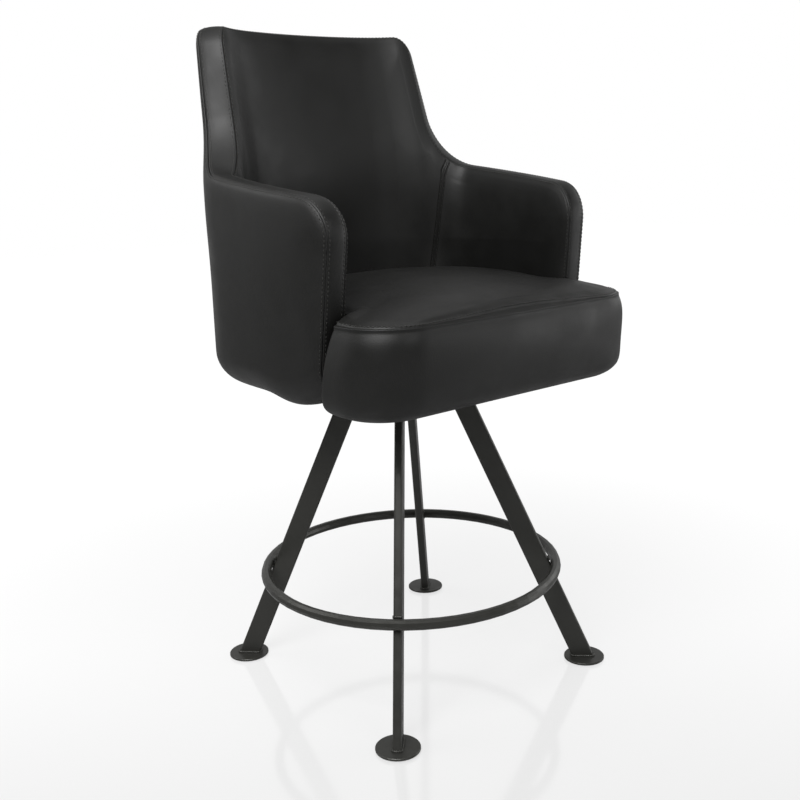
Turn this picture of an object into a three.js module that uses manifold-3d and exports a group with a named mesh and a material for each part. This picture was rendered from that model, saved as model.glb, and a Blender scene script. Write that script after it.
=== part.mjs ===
// A gaming stool: an upholstered tub seat on a ball-bearing swivel, carried by four splayed
// flat-tube legs with a round foot ring. Millimetres, +Z up. The sitter faces -Y, and the
// origin is on the floor under the swivel pin.
import * as THREE from "three";
import { mergeVertices } from "three/addons/utils/BufferGeometryUtils.js";
import Module from "manifold-3d";

const wasm = await Module();
wasm.setup();

// Clearances and facets
const TOUCH_GAP = 0.3;
const RACE_GAP = 0.5;
const CUT_OVERRUN = 2;
const CORNER_FACETS = 3;
const ROUND_FACETS = 32;
const SMALL_ROUND_FACETS = 16;
const RING_FACETS = 60;
const RACE_FACETS = 28;
const TUBE_FACETS = 10;

// Feet and legs
const FOOT_CIRCLE_RADIUS = 275;
const GLIDE_RADIUS = 27;
const GLIDE_THICKNESS = 1.6;
const DISC_RADIUS = 31.75;
const DISC_THICKNESS = 3.2;
const DISC_EDGE_BEVEL = 0.8;
const LEG_WIDTH = 31.75;
const LEG_THICKNESS = 12.7;
const LEG_WALL = 1.65;
const LEG_CORNER_RADIUS = 3.2;
const LEG_TOP_CIRCLE_RADIUS = 76;
const LEG_TURNS_SHARES = [1 / 8, 3 / 8, 5 / 8, 7 / 8];

// Foot ring
const RING_HEIGHT = 164;
const RING_TUBE_DIAMETER = 15.875;

// Leg plate and swivel, stacked upwards from the leg plate's underside
const LEG_PLATE_BOTTOM = 456.6;
const LEG_PLATE_SIZE = 150;
const LEG_PLATE_THICKNESS = 6;
const SWIVEL_PLATE_SIZE = 140;
const SWIVEL_PLATE_THICKNESS = 4;
const PLATE_CORNER_RADIUS = 15;
const BALL_DIAMETER = 9.5;
const BALL_COUNT = 12;
const BALL_FACETS = 10;
const RACE_RADIUS = 42;
const PLATE_SPACE = 5.8;
const CAGE_BAND = 16;
const CAGE_THICKNESS = 1.2;
const PIN_RADIUS = 7.7;
const PIN_HEAD_RADIUS = 14;
const PIN_HEAD_THICKNESS = 4;
const PIN_THREAD_LENGTH = 13;
const WASHER_RADIUS = 15;
const WASHER_THICKNESS = 2;
const NUT_ACROSS_FLATS = 24;
const NUT_HEIGHT = 8;
const SCREW_CIRCLE_RADIUS = 62;
const SCREW_RADIUS = 3.9;
const SCREW_HEAD_RADIUS = 7.2;
const SCREW_HEAD_HEIGHT = 3.5;
const SCREW_LENGTH = 16;
const TEE_NUT_FLANGE_RADIUS = 10;
const TEE_NUT_FLANGE_THICKNESS = 1.2;
const TEE_NUT_BARREL_RADIUS = 5.4;
const TEE_NUT_BARREL_LENGTH = 13;

// Seat board and the fixings on it
const BOARD_THICKNESS = 15;
const BOARD_PIN_HOLE_RADIUS = 18;
const BOARD_WALL_CLEARANCE = 1;
const BRACKET_WALL_GAP = 0.7;
const BRACKET_THICKNESS = 3;
const BRACKET_WIDTH = 40;
const BRACKET_UPRIGHT = 48;
const BRACKET_FOOT = 66;
const BRACKET_PLACE_SHARES = [-0.79, -0.395, 0, 0.395, 0.79];
const DUST_COVER_THICKNESS = 1.2;
const DUST_COVER_INSET = 6;
const DUST_COVER_HOLE_CLEARANCE = 3;

// Tub plan: three tangent arcs a side, from the middle of the back round to the arm's front
const TUB_REAR = 236;
const BACK_ARC_RADIUS = 520;
const BACK_ARC_LENGTH = 152.5;
const CORNER_ARC_RADIUS = 157;
const CORNER_ARC_LENGTH = 182.8;
const SIDE_ARC_RADIUS = 640;
const TUB_WALL = 45;

// Tub side outline, unrolled: distance round the wall from the middle of the back, and height
const TUB_BOTTOM = 480;
const TUB_TOP = 990;
const TOP_CORNER_REACH = 225;
const TOP_CORNER_RADIUS = 34;
const VALLEY_REACH = 248;
const VALLEY_HEIGHT = 788;
const VALLEY_RADIUS = 95;
const ARM_NOSE_REACH = 574.5;
const ARM_NOSE_HEIGHT = 743.6;
const ARM_NOSE_RADIUS = 53;
const ARM_FOOT_REACH = 544;
const ARM_FOOT_SAG = 9;
const ARM_FOOT_SAG_BACK = 74;
const ARM_FOOT_SAG_SPREAD = 38;
const ARM_FOOT_RISE = 12;
const ARM_FOOT_RISE_LENGTH = 50;

// How the back leans and narrows towards its top
const LEAN_START = 740;
const LEAN_BLEND = 100;
const LEAN_AT_TOP = 32;
const NARROWING_START = 760;
const NARROWING_SHARE = 0.038;
const NARROWING_POWER = 1.3;

// Layers of the tub wall
const COVER_THICKNESS = 11.7;
const CORE_THICKNESS = 10;
const EDGE_STRIP_HEIGHT = 7;
const EDGE_STRIP_CROWN = 2;
const EDGE_STRIP_ROUNDING = 5;
const EDGE_STRIP_HOLLOW = 0.4;
const BOTTOM_ROUNDING = 44;
const BOTTOM_RETURN_THICKNESS = 11;
const COVER_FOOT_HEIGHT = 24;
const BOTTOM_RETURN_CLEARANCE = 1;
const PAD_BOTTOM = 548;
const PAD_ROUNDING = 5;
const PAD_SEAM_FOOT_REACH = 204;
const PAD_SEAM_TOP_REACH = 287;
const PAD_SEAM_LEAST_HEIGHT = 700;
const COLUMN_STEP = 36;
const WALL_LEVEL_SHARES = [0, 0.25, 0.5, 0.75];
const ROUNDING_FACETS = 4;

// Seat cushion: a nose before the arms, and a tongue that fills the tub
const CUSHION_BOTTOM = 470;
const CUSHION_SEAM_HEIGHT = 590;
const CUSHION_NOSE_LENGTH = 120.3;
const CUSHION_SIDE_PROUD = 7.2;
const CUSHION_FRONT_CORNER_RADIUS = 89;
const CUSHION_EAR_GAP = 16.3;
const CUSHION_EAR_CORNER_RADIUS = 8;
const CUSHION_DRAW = 14;
const CUSHION_CROWN = 32;
const CROWN_SIDE_FALL = 10;
const CROWN_END_FALL = 14;
const CROWN_REACH = 220;
const CROWN_CENTRE_Y = -20;
const CUSHION_SKIRT = 28;
const CUSHION_RING_SHARES = [
  { up: 0, side: 1.8, front: 2.29, corner: 0.62, ear: 1.52, tongue: 1.6 },
  { up: 0.03, side: 0.93, front: 1.46, corner: 0.82, ear: 1, tongue: 0.8 },
  { up: 0.085, side: 0.36, front: 0.89, corner: 0.88, ear: 0.65, tongue: 0.3 },
  { up: 0.2, side: 0.04, front: 0.5, corner: 0.9, ear: 0.5, tongue: 0 },
  { up: 0.4, side: 0, front: 0.33, corner: 0.94, ear: 0.57, tongue: 0.15 },
  { up: 0.63, side: 0.14, front: 0.12, corner: 0.9, ear: 0.68, tongue: 0.15 },
  { up: 0.85, side: 0.5, front: 0, corner: 0.83, ear: 0.86, tongue: 0 },
  { up: 1, side: 0.93, front: 0.29, corner: 0.83, ear: 1, tongue: 0.3 },
];
const CROWN_RING_SHARES = [0.02, 0.06, 0.14, 0.3, 0.52, 0.76];
const CROWN_EDGE_SHARE = 0.05;
const TONGUE_STEPS = 12;

// Heights that follow from the stack
const DISC_TOP = GLIDE_THICKNESS + TOUCH_GAP + DISC_THICKNESS;
const LEG_BOTTOM = DISC_TOP + TOUCH_GAP;
const LEG_TOP = LEG_PLATE_BOTTOM - TOUCH_GAP;
const LEG_LEAN = (FOOT_CIRCLE_RADIUS - LEG_TOP_CIRCLE_RADIUS) / LEG_TOP;
const LEAN_STRETCH = Math.hypot(1, LEG_LEAN);
const LOWER_PLATE_BOTTOM = LEG_PLATE_BOTTOM + LEG_PLATE_THICKNESS + TOUCH_GAP;
const LOWER_PLATE_TOP = LOWER_PLATE_BOTTOM + SWIVEL_PLATE_THICKNESS;
const UPPER_PLATE_BOTTOM = LOWER_PLATE_TOP + PLATE_SPACE;
const UPPER_PLATE_TOP = UPPER_PLATE_BOTTOM + SWIVEL_PLATE_THICKNESS;
const BALL_CENTRE_HEIGHT = (LOWER_PLATE_TOP + UPPER_PLATE_BOTTOM) / 2;
const BOARD_BOTTOM = UPPER_PLATE_TOP + TOUCH_GAP;
const BOARD_TOP = BOARD_BOTTOM + BOARD_THICKNESS;
const BRACKET_BOTTOM = BOARD_TOP + TOUCH_GAP;
const POCKET_TOP = BRACKET_BOTTOM + BRACKET_THICKNESS + TOUCH_GAP;
const CORE_DEPTH = COVER_THICKNESS + TOUCH_GAP;
const PAD_DEPTH = CORE_DEPTH + CORE_THICKNESS + TOUCH_GAP;

// Finishes
const POWDER_COAT = new THREE.MeshStandardMaterial({ color: 0x2c2c2a, roughness: 0.5, metalness: 0.6 });
const ZINC = new THREE.MeshStandardMaterial({ color: 0xa9a9a4, roughness: 0.4, metalness: 0.9 });
const BALL_STEEL = new THREE.MeshStandardMaterial({ color: 0xc8c8c8, roughness: 0.15, metalness: 1 });
const NYLON = new THREE.MeshStandardMaterial({ color: 0x1c1c1c, roughness: 0.6, metalness: 0 });
const PLYWOOD = new THREE.MeshStandardMaterial({ color: 0xb98f5c, roughness: 0.7, metalness: 0 });
const LEATHER = new THREE.MeshStandardMaterial({ color: 0x232320, roughness: 0.45, metalness: 0 });
const DUST_CLOTH = new THREE.MeshStandardMaterial({ color: 0x141414, roughness: 0.95, metalness: 0 });

// A geometry with only merged positions, its faces turned outwards.
function closed(geometry) {
  const bare = geometry.clone();
  bare.deleteAttribute("normal");
  bare.deleteAttribute("uv");
  const merged = mergeVertices(bare);
  const place = merged.getAttribute("position");
  const index = merged.getIndex();
  const [a, b, c] = [new THREE.Vector3(), new THREE.Vector3(), new THREE.Vector3()];
  let sixVolumes = 0;
  for (let i = 0; i < index.count; i += 3) {
    a.fromBufferAttribute(place, index.getX(i));
    b.fromBufferAttribute(place, index.getX(i + 1));
    c.fromBufferAttribute(place, index.getX(i + 2));
    sixVolumes += a.dot(b.cross(c));
  }
  if (sixVolumes < 0) {
    index.array.reverse();
  }
  return merged;
}

function solidOf(geometry) {
  const merged = closed(geometry);
  return new wasm.Manifold(
    new wasm.Mesh({
      numProp: 3,
      vertProperties: new Float32Array(merged.getAttribute("position").array),
      triVerts: new Uint32Array(merged.getIndex().array),
    }),
  );
}

function geometryOf(solid) {
  const mesh = solid.getMesh();
  return new THREE.BufferGeometry()
    .setAttribute("position", new THREE.BufferAttribute(mesh.vertProperties, 3))
    .setIndex(new THREE.BufferAttribute(mesh.triVerts, 1));
}

function cut(geometry, ...tools) {
  return geometryOf(tools.reduce((rest, tool) => rest.subtract(solidOf(tool)), solidOf(geometry)));
}

function piece(name, geometry, material) {
  const mesh = new THREE.Mesh(closed(geometry), material);
  mesh.geometry.computeVertexNormals();
  mesh.name = name;
  return mesh;
}

// An upright prism of a plan shape between two heights.
function prism(shape, bottom, top, curveSegments = CORNER_FACETS) {
  return new THREE.ExtrudeGeometry(shape, {
    depth: top - bottom,
    bevelEnabled: false,
    curveSegments,
  }).translate(0, 0, bottom);
}

// A solid of revolution about the Z axis, from [radius, height] points.
function turned(profile, facets = ROUND_FACETS) {
  const points = profile.map(([radius, height]) => new THREE.Vector2(radius, height));
  return new THREE.LatheGeometry(points, facets).rotateX(Math.PI / 2);
}

function roundedRectangle(width, height, radius) {
  const [right, top] = [width / 2 - radius, height / 2 - radius];
  const shape = new THREE.Shape();
  shape.absarc(right, top, radius, 0, Math.PI / 2);
  shape.absarc(-right, top, radius, Math.PI / 2, Math.PI);
  shape.absarc(-right, -top, radius, Math.PI, 1.5 * Math.PI);
  shape.absarc(right, -top, radius, 1.5 * Math.PI, 2 * Math.PI);
  shape.closePath();
  return shape;
}

function roundHole(x, y, radius) {
  return new THREE.Path().absarc(x, y, radius, 0, 2 * Math.PI, true);
}

// Even places round a circle, starting a share of one step from +X.
function roundPlaces(count, radius, startShare) {
  return Array.from({ length: count }, (_, i) => {
    const angle = (2 * Math.PI * (i + startShare)) / count;
    return { x: radius * Math.cos(angle), y: radius * Math.sin(angle) };
  });
}

// Triangles over an outline, wound the way that its points run.
function flatCap(outline) {
  const anticlockwise = THREE.ShapeUtils.area(outline) > 0;
  const triangles = THREE.ShapeUtils.triangulateShape(outline, []);
  return anticlockwise ? triangles : triangles.map((triangle) => [...triangle].reverse());
}

// Triangles over a section that climbs one face up to its top point and comes down the other,
// as rungs between the faces, so that points in a straight row all stay in use.
function rungCap(heights, top) {
  const triangles = [];
  let [up, down] = [0, heights.length - 1];
  while (up < top || down > top + 1) {
    if (down === top + 1 || (up < top && heights[up + 1] <= heights[down - 1])) {
      triangles.push([up, up + 1, down]);
      up += 1;
    } else {
      triangles.push([up, down - 1, down]);
      down -= 1;
    }
  }
  return triangles;
}

// A closed solid from rings of points: each ring joins the next, and the ends are capped.
// Each four-sided facet is split along its shorter diagonal, so layers that touch match.
function loft(rings, capTriangles) {
  const size = rings[0].length;
  const points = rings.flat();
  const positions = points.flatMap((p) => [p.x, p.y, p.z]);
  const indices = [];
  for (let r = 0; r + 1 < rings.length; r++) {
    for (let i = 0; i < size; i++) {
      const [a, b] = [r * size + i, r * size + ((i + 1) % size)];
      const [c, d] = [b + size, a + size];
      if (points[a].distanceTo(points[c]) < points[b].distanceTo(points[d])) {
        indices.push(a, b, c, a, c, d);
      } else {
        indices.push(a, b, d, b, c, d);
      }
    }
  }
  const last = (rings.length - 1) * size;
  for (const [a, b, c] of capTriangles) {
    indices.push(c, b, a, a + last, b + last, c + last);
  }
  return new THREE.BufferGeometry()
    .setAttribute("position", new THREE.Float32BufferAttribute(positions, 3))
    .setIndex(indices);
}

// Legs, feet and ring

function leg(turnShare) {
  const tube = roundedRectangle(LEG_WIDTH, LEG_THICKNESS, LEG_CORNER_RADIUS);
  const boreWidth = LEG_WIDTH - 2 * LEG_WALL;
  const boreThickness = LEG_THICKNESS - 2 * LEG_WALL;
  tube.holes.push(roundedRectangle(boreWidth, boreThickness, LEG_CORNER_RADIUS - LEG_WALL));
  const lean = new THREE.Matrix4().makeShear(0, 0, 0, 0, -LEG_LEAN, 0);
  return prism(tube, LEG_BOTTOM, LEG_TOP)
    .scale(LEAN_STRETCH, 1, 1)
    .applyMatrix4(lean)
    .translate(FOOT_CIRCLE_RADIUS, 0, 0)
    .rotateZ(2 * Math.PI * turnShare);
}

function footDisc() {
  const bottom = GLIDE_THICKNESS + TOUCH_GAP;
  return turned([
    [0, bottom],
    [DISC_RADIUS, bottom],
    [DISC_RADIUS, DISC_TOP - DISC_EDGE_BEVEL],
    [DISC_RADIUS - DISC_EDGE_BEVEL, DISC_TOP],
    [0, DISC_TOP],
  ]);
}

function footGlide() {
  return turned([
    [0, 0],
    [GLIDE_RADIUS, 0],
    [GLIDE_RADIUS, GLIDE_THICKNESS],
    [0, GLIDE_THICKNESS],
  ]);
}

function atFoot(geometry, turnShare) {
  return geometry.translate(FOOT_CIRCLE_RADIUS, 0, 0).rotateZ(2 * Math.PI * turnShare);
}

// The ring lies against the legs' outer faces, where it is welded.
function footRing() {
  const legRadius = FOOT_CIRCLE_RADIUS - LEG_LEAN * RING_HEIGHT;
  const reach = (LEG_WIDTH / 2 + TOUCH_GAP + RING_TUBE_DIAMETER / 2) * LEAN_STRETCH;
  return new THREE.TorusGeometry(
    legRadius + reach,
    RING_TUBE_DIAMETER / 2,
    TUBE_FACETS,
    RING_FACETS,
  ).translate(0, 0, RING_HEIGHT);
}

// Swivel

const LOWER_SCREW_PLACES = roundPlaces(4, SCREW_CIRCLE_RADIUS, 0);
const UPPER_SCREW_PLACES = roundPlaces(4, SCREW_CIRCLE_RADIUS, 1 / 2);
const BALL_PLACES = roundPlaces(BALL_COUNT, RACE_RADIUS, 0);

function plate(size, bottom, top, screwPlaces) {
  const shape = roundedRectangle(size, size, PLATE_CORNER_RADIUS);
  shape.holes.push(roundHole(0, 0, PIN_RADIUS + TOUCH_GAP));
  for (const { x, y } of screwPlaces) {
    shape.holes.push(roundHole(x, y, SCREW_RADIUS + TOUCH_GAP));
  }
  return prism(shape, bottom, top, SMALL_ROUND_FACETS / 2);
}

function race() {
  return new THREE.TorusGeometry(
    RACE_RADIUS,
    BALL_DIAMETER / 2 + RACE_GAP,
    TUBE_FACETS,
    RACE_FACETS,
  ).translate(0, 0, BALL_CENTRE_HEIGHT);
}

// The cone that a flat screw head sinks into; up is 1 for a head on the upper face.
function countersink({ x, y }, face, up) {
  const slope = (SCREW_HEAD_RADIUS - SCREW_RADIUS) / SCREW_HEAD_HEIGHT;
  const rim = SCREW_HEAD_RADIUS + TOUCH_GAP;
  const bottomRadius = rim - slope * SWIVEL_PLATE_THICKNESS;
  const profile = [
    [0, face + up * CUT_OVERRUN],
    [rim + slope * CUT_OVERRUN, face + up * CUT_OVERRUN],
    [bottomRadius, face - up * SWIVEL_PLATE_THICKNESS],
    [0, face - up * SWIVEL_PLATE_THICKNESS],
  ];
  return turned(profile, SMALL_ROUND_FACETS).translate(x, y, 0);
}

function lowerPlate() {
  const blank = plate(SWIVEL_PLATE_SIZE, LOWER_PLATE_BOTTOM, LOWER_PLATE_TOP, LOWER_SCREW_PLACES);
  const sinks = LOWER_SCREW_PLACES.map((place) => countersink(place, LOWER_PLATE_TOP, 1));
  return cut(blank, race(), ...sinks);
}

function upperPlate() {
  const blank = plate(SWIVEL_PLATE_SIZE, UPPER_PLATE_BOTTOM, UPPER_PLATE_TOP, UPPER_SCREW_PLACES);
  const sinks = UPPER_SCREW_PLACES.map((place) => countersink(place, UPPER_PLATE_BOTTOM, -1));
  return cut(blank, race(), ...sinks);
}

// A flat-head screw whose head is flush with a face and whose shank runs down, or up where up is 1.
function flatScrew({ x, y }, face, up) {
  const head = face + up * TOUCH_GAP;
  const profile = [
    [0, head],
    [SCREW_HEAD_RADIUS, head],
    [SCREW_RADIUS, head + up * SCREW_HEAD_HEIGHT],
    [SCREW_RADIUS, head + up * SCREW_LENGTH],
    [0, head + up * SCREW_LENGTH],
  ];
  return turned(profile, SMALL_ROUND_FACETS).translate(x, y, 0);
}

function ball({ x, y }) {
  return new THREE.SphereGeometry(BALL_DIAMETER / 2, BALL_FACETS, BALL_FACETS / 2 + 1)
    .rotateX(Math.PI / 2)
    .translate(x, y, BALL_CENTRE_HEIGHT);
}

function ballCage() {
  const shape = new THREE.Shape().absarc(0, 0, RACE_RADIUS + CAGE_BAND / 2, 0, 2 * Math.PI);
  shape.holes.push(roundHole(0, 0, RACE_RADIUS - CAGE_BAND / 2));
  for (const { x, y } of BALL_PLACES) {
    shape.holes.push(roundHole(x, y, BALL_DIAMETER / 2 + TOUCH_GAP));
  }
  const [bottom, top] = [-CAGE_THICKNESS / 2, CAGE_THICKNESS / 2];
  return prism(shape, bottom, top, SMALL_ROUND_FACETS / 2).translate(0, 0, BALL_CENTRE_HEIGHT);
}

const WASHER_TOP = LEG_PLATE_BOTTOM - TOUCH_GAP;
const NUT_TOP = WASHER_TOP - WASHER_THICKNESS - TOUCH_GAP;

function swivelPin() {
  const headBottom = UPPER_PLATE_TOP + TOUCH_GAP;
  const foot = LEG_PLATE_BOTTOM - PIN_THREAD_LENGTH;
  return turned([
    [0, foot],
    [PIN_RADIUS, foot],
    [PIN_RADIUS, headBottom],
    [PIN_HEAD_RADIUS, headBottom],
    [PIN_HEAD_RADIUS, headBottom + PIN_HEAD_THICKNESS],
    [0, headBottom + PIN_HEAD_THICKNESS],
  ]);
}

function pinWasher() {
  const shape = new THREE.Shape().absarc(0, 0, WASHER_RADIUS, 0, 2 * Math.PI);
  shape.holes.push(roundHole(0, 0, PIN_RADIUS + TOUCH_GAP));
  return prism(shape, WASHER_TOP - WASHER_THICKNESS, WASHER_TOP, SMALL_ROUND_FACETS / 2);
}

function pinNut() {
  const corner = NUT_ACROSS_FLATS / 2 / Math.cos(Math.PI / 6);
  const shape = new THREE.Shape(
    roundPlaces(6, corner, 0).map(({ x, y }) => new THREE.Vector2(x, y)),
  );
  shape.holes.push(roundHole(0, 0, PIN_RADIUS + TOUCH_GAP));
  return prism(shape, NUT_TOP - NUT_HEIGHT, NUT_TOP, SMALL_ROUND_FACETS / 2);
}

function teeNut({ x, y }) {
  const flangeBottom = BOARD_TOP + TOUCH_GAP;
  const bore = SCREW_RADIUS + TOUCH_GAP;
  return turned(
    [
      [bore, flangeBottom + TEE_NUT_FLANGE_THICKNESS],
      [bore, flangeBottom - TEE_NUT_BARREL_LENGTH],
      [TEE_NUT_BARREL_RADIUS, flangeBottom - TEE_NUT_BARREL_LENGTH],
      [TEE_NUT_BARREL_RADIUS, flangeBottom],
      [TEE_NUT_FLANGE_RADIUS, flangeBottom],
      [TEE_NUT_FLANGE_RADIUS, flangeBottom + TEE_NUT_FLANGE_THICKNESS],
      [bore, flangeBottom + TEE_NUT_FLANGE_THICKNESS],
    ],
    SMALL_ROUND_FACETS,
  ).translate(x, y, 0);
}

// Tub wall

const PLAN_ARCS = [
  { radius: BACK_ARC_RADIUS, length: BACK_ARC_LENGTH },
  { radius: CORNER_ARC_RADIUS, length: CORNER_ARC_LENGTH },
  { radius: SIDE_ARC_RADIUS, length: Infinity },
];

// The outer plan curve at a distance round the wall: its place, and its heading from +X.
function planAt(distance) {
  let [x, y, heading, left] = [0, TUB_REAR, 0, distance];
  for (const { radius, length } of PLAN_ARCS) {
    const next = heading + Math.min(left, length) / radius;
    x += radius * (Math.sin(next) - Math.sin(heading));
    y -= radius * (Math.cos(heading) - Math.cos(next));
    heading = next;
    left -= length;
    if (left <= 0) {
      break;
    }
  }
  return { x, y, heading };
}

function leanAt(height) {
  const above = Math.max(height - LEAN_START, 0);
  const slope = LEAN_AT_TOP / (TUB_TOP - LEAN_START - LEAN_BLEND / 2);
  const eased = above < LEAN_BLEND ? above ** 2 / (2 * LEAN_BLEND) : above - LEAN_BLEND / 2;
  return slope * eased;
}

function widthShareAt(height) {
  const share = Math.max(height - NARROWING_START, 0) / (TUB_TOP - NARROWING_START);
  return 1 - NARROWING_SHARE * share ** NARROWING_POWER;
}

// A point of the tub wall: reach round the wall, positive towards +X, height, and depth in
// from the outer face. The arms' front ends are square to Y, so depth runs along X there.
function tubPoint(reach, height, depth) {
  const { x, y, heading } = planAt(Math.abs(reach));
  const inward = Math.min(heading, Math.PI / 2);
  const side = reach < 0 ? -1 : 1;
  return new THREE.Vector3(
    side * (x - depth * Math.sin(inward)) * widthShareAt(height),
    y - depth * Math.cos(inward) + leanAt(height),
    height,
  );
}

// The wall's bottom edge hangs a little near the arm's front, and rises at its very end.
function footHeightAt(reach) {
  const back = ARM_FOOT_REACH - Math.abs(reach);
  const sag = ARM_FOOT_SAG * Math.exp(-(((back - ARM_FOOT_SAG_BACK) / ARM_FOOT_SAG_SPREAD) ** 2));
  const rise = ARM_FOOT_RISE * Math.max(1 - back / ARM_FOOT_RISE_LENGTH, 0) ** 2;
  return TUB_BOTTOM - sag + rise;
}

// An unrolled outline through corners, each rounded by an arc tangent to both of its sides.
function roundedPath(corners, facets) {
  const path = [];
  corners.forEach(({ at, radius }, i) => {
    if (!radius) {
      path.push(at);
      return;
    }
    const back = corners[i - 1].at.clone().sub(at).normalize();
    const ahead = corners[i + 1].at.clone().sub(at).normalize();
    const half = Math.acos(back.dot(ahead)) / 2;
    const middle = back.clone().add(ahead).normalize();
    const centre = at.clone().addScaledVector(middle, radius / Math.sin(half));
    const start = at.clone().addScaledVector(back, radius / Math.tan(half)).sub(centre);
    const turn = (Math.PI - 2 * half) * Math.sign(ahead.cross(back));
    for (let k = 0; k <= facets; k++) {
      const spoke = start.clone().rotateAround(new THREE.Vector2(), (turn * k) / facets);
      path.push(centre.clone().add(spoke));
    }
  });
  return path;
}

// Extra points so that no step of an unrolled path is longer than the column step, but for
// its first step, which is the straight front edge of the arm.
function evened(path) {
  const out = path.slice(0, 2);
  for (const next of path.slice(2)) {
    const from = out.at(-1);
    const steps = Math.max(1, Math.ceil(from.distanceTo(next) / COLUMN_STEP));
    for (let k = 1; k <= steps; k++) {
      out.push(from.clone().lerp(next, k / steps));
    }
  }
  return out;
}

// The rim on the +X side, from the arm's foot up its front, over the arm and up the back to
// the middle of the top, drawn in by an inset at right angles to the edge.
function rimPath(inset) {
  const corner = (reach, height, radius) => ({ at: new THREE.Vector2(reach, height), radius });
  const rim = evened(
    roundedPath(
      [
        corner(ARM_FOOT_REACH, footHeightAt(ARM_FOOT_REACH), 0),
        corner(ARM_NOSE_REACH, ARM_NOSE_HEIGHT, ARM_NOSE_RADIUS),
        corner(VALLEY_REACH, VALLEY_HEIGHT, VALLEY_RADIUS),
        corner(TOP_CORNER_REACH, TUB_TOP, TOP_CORNER_RADIUS),
        corner(0, TUB_TOP, 0),
      ],
      ROUNDING_FACETS + 1,
    ),
  );
  return rim.map((point, i) => {
    const before = rim[Math.max(i - 1, 0)];
    const after = rim[Math.min(i + 1, rim.length - 1)];
    const along = i === 0 ? new THREE.Vector2(0, 1) : after.clone().sub(before).normalize();
    if (i === rim.length - 1) {
      along.set(-1, 0);
    }
    return point.clone().add(new THREE.Vector2(-along.y, along.x).multiplyScalar(inset));
  });
}

// The rim's points mirrored to run from the -X arm's foot round to the +X arm's foot.
function bothSides(path) {
  const mirrored = path.map(({ x, y }) => new THREE.Vector2(-x, y));
  return [...mirrored, ...path.slice(0, -1).reverse()];
}

// Columns of the wall from the -X arm's front edge round to the +X one's. Each runs from the
// bottom edge up to a point of the rim, and one on each side lies along the seam between the
// inner pads. The foot step keeps to distances along the arm, and to reaches round the back.
function wallColumns() {
  const path = rimPath(EDGE_STRIP_HEIGHT + TOUCH_GAP);
  const front = path[0];
  const tops = path.slice(1);
  const seam = tops.findIndex(({ x, y }) => x < PAD_SEAM_TOP_REACH && y > PAD_SEAM_LEAST_HEIGHT);
  const lengths = [0];
  tops.slice(1).forEach((top, i) => lengths.push(lengths[i] + top.distanceTo(tops[i])));
  const half = tops.map((top, i) => {
    const reach =
      i < seam
        ? THREE.MathUtils.lerp(front.x, PAD_SEAM_FOOT_REACH, lengths[i] / lengths[seam])
        : (PAD_SEAM_FOOT_REACH * top.x) / tops[seam].x;
    const foot = i === 0 ? front.clone() : new THREE.Vector2(reach, footHeightAt(reach));
    const waist = foot.clone().lerp(top, (PAD_BOTTOM - foot.y) / (top.y - foot.y));
    return { foot, waist, top };
  });
  return { columns: [...half.map(mirrorColumn), ...half.slice(0, -1).reverse()], seam };
}

function mirrorColumn(column) {
  const mirror = ({ x, y }) => new THREE.Vector2(-x, y);
  return { foot: mirror(column.foot), waist: mirror(column.waist), top: mirror(column.top) };
}

// A column moved along the wall by a small distance.
function shiftedColumn(column, shift) {
  const moved = ({ x, y }) => new THREE.Vector2(x + shift, y);
  return { foot: moved(column.foot), waist: moved(column.waist), top: moved(column.top) };
}

// A layer of the wall, from the points that climb its outer face and those that climb its
// inner one. Each stands at a share of the way from the waist to the top, or to the foot where
// the share is negative, plus a rise, and at a depth in from the wall's outer face.
function wallLayer(columns, outerFace, innerFace) {
  const section = [...outerFace, ...innerFace.toReversed()];
  const rings = columns.map(({ foot, waist, top }) => {
    const up = top.clone().sub(foot).normalize();
    return section.map(({ share, rise, depth }) => {
      const end = share < 0 ? foot : top;
      const at = waist.clone().lerp(end, Math.abs(share)).addScaledVector(up, rise);
      return tubPoint(at.x, at.y, depth);
    });
  });
  const heights = section.map(
    ({ share, rise }) => rise + share * (share < 0 ? PAD_BOTTOM - TUB_BOTTOM : TUB_TOP - PAD_BOTTOM),
  );
  return loft(rings, rungCap(heights, outerFace.length - 1));
}

// The points of a plain face that climbs the wall from its waist at one depth.
function faceAt(depth, topRise) {
  return [
    ...WALL_LEVEL_SHARES.map((share) => ({ share, rise: 0, depth })),
    { share: 1, rise: topRise, depth },
  ];
}

// The outer cover turns in under the wall, round a large bottom edge, and carries the
// plywood on a thicker foot.
function outerCover() {
  const turnUnder = Array.from({ length: ROUNDING_FACETS + 1 }, (_, k) => {
    const angle = (Math.PI / 2) * (1 - k / ROUNDING_FACETS);
    return {
      share: -1,
      rise: BOTTOM_ROUNDING * (1 - Math.sin(angle)),
      depth: BOTTOM_ROUNDING * (1 - Math.cos(angle)),
    };
  });
  const footDepth = CORE_DEPTH + CORE_THICKNESS;
  const returnDepth = TUB_WALL - BOTTOM_RETURN_CLEARANCE;
  return wallLayer(
    wallColumns().columns,
    [
      ...turnUnder,
      ...faceAt(0, -PAD_ROUNDING),
      { share: 1, rise: 0, depth: PAD_ROUNDING },
    ],
    [
      { share: -1, rise: 0, depth: returnDepth },
      { share: -1, rise: BOTTOM_RETURN_THICKNESS, depth: returnDepth },
      { share: -1, rise: BOTTOM_RETURN_THICKNESS, depth: footDepth },
      { share: -1, rise: COVER_FOOT_HEIGHT, depth: footDepth },
      { share: -1, rise: COVER_FOOT_HEIGHT, depth: COVER_THICKNESS },
      ...faceAt(COVER_THICKNESS, 0),
    ],
  );
}

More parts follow.
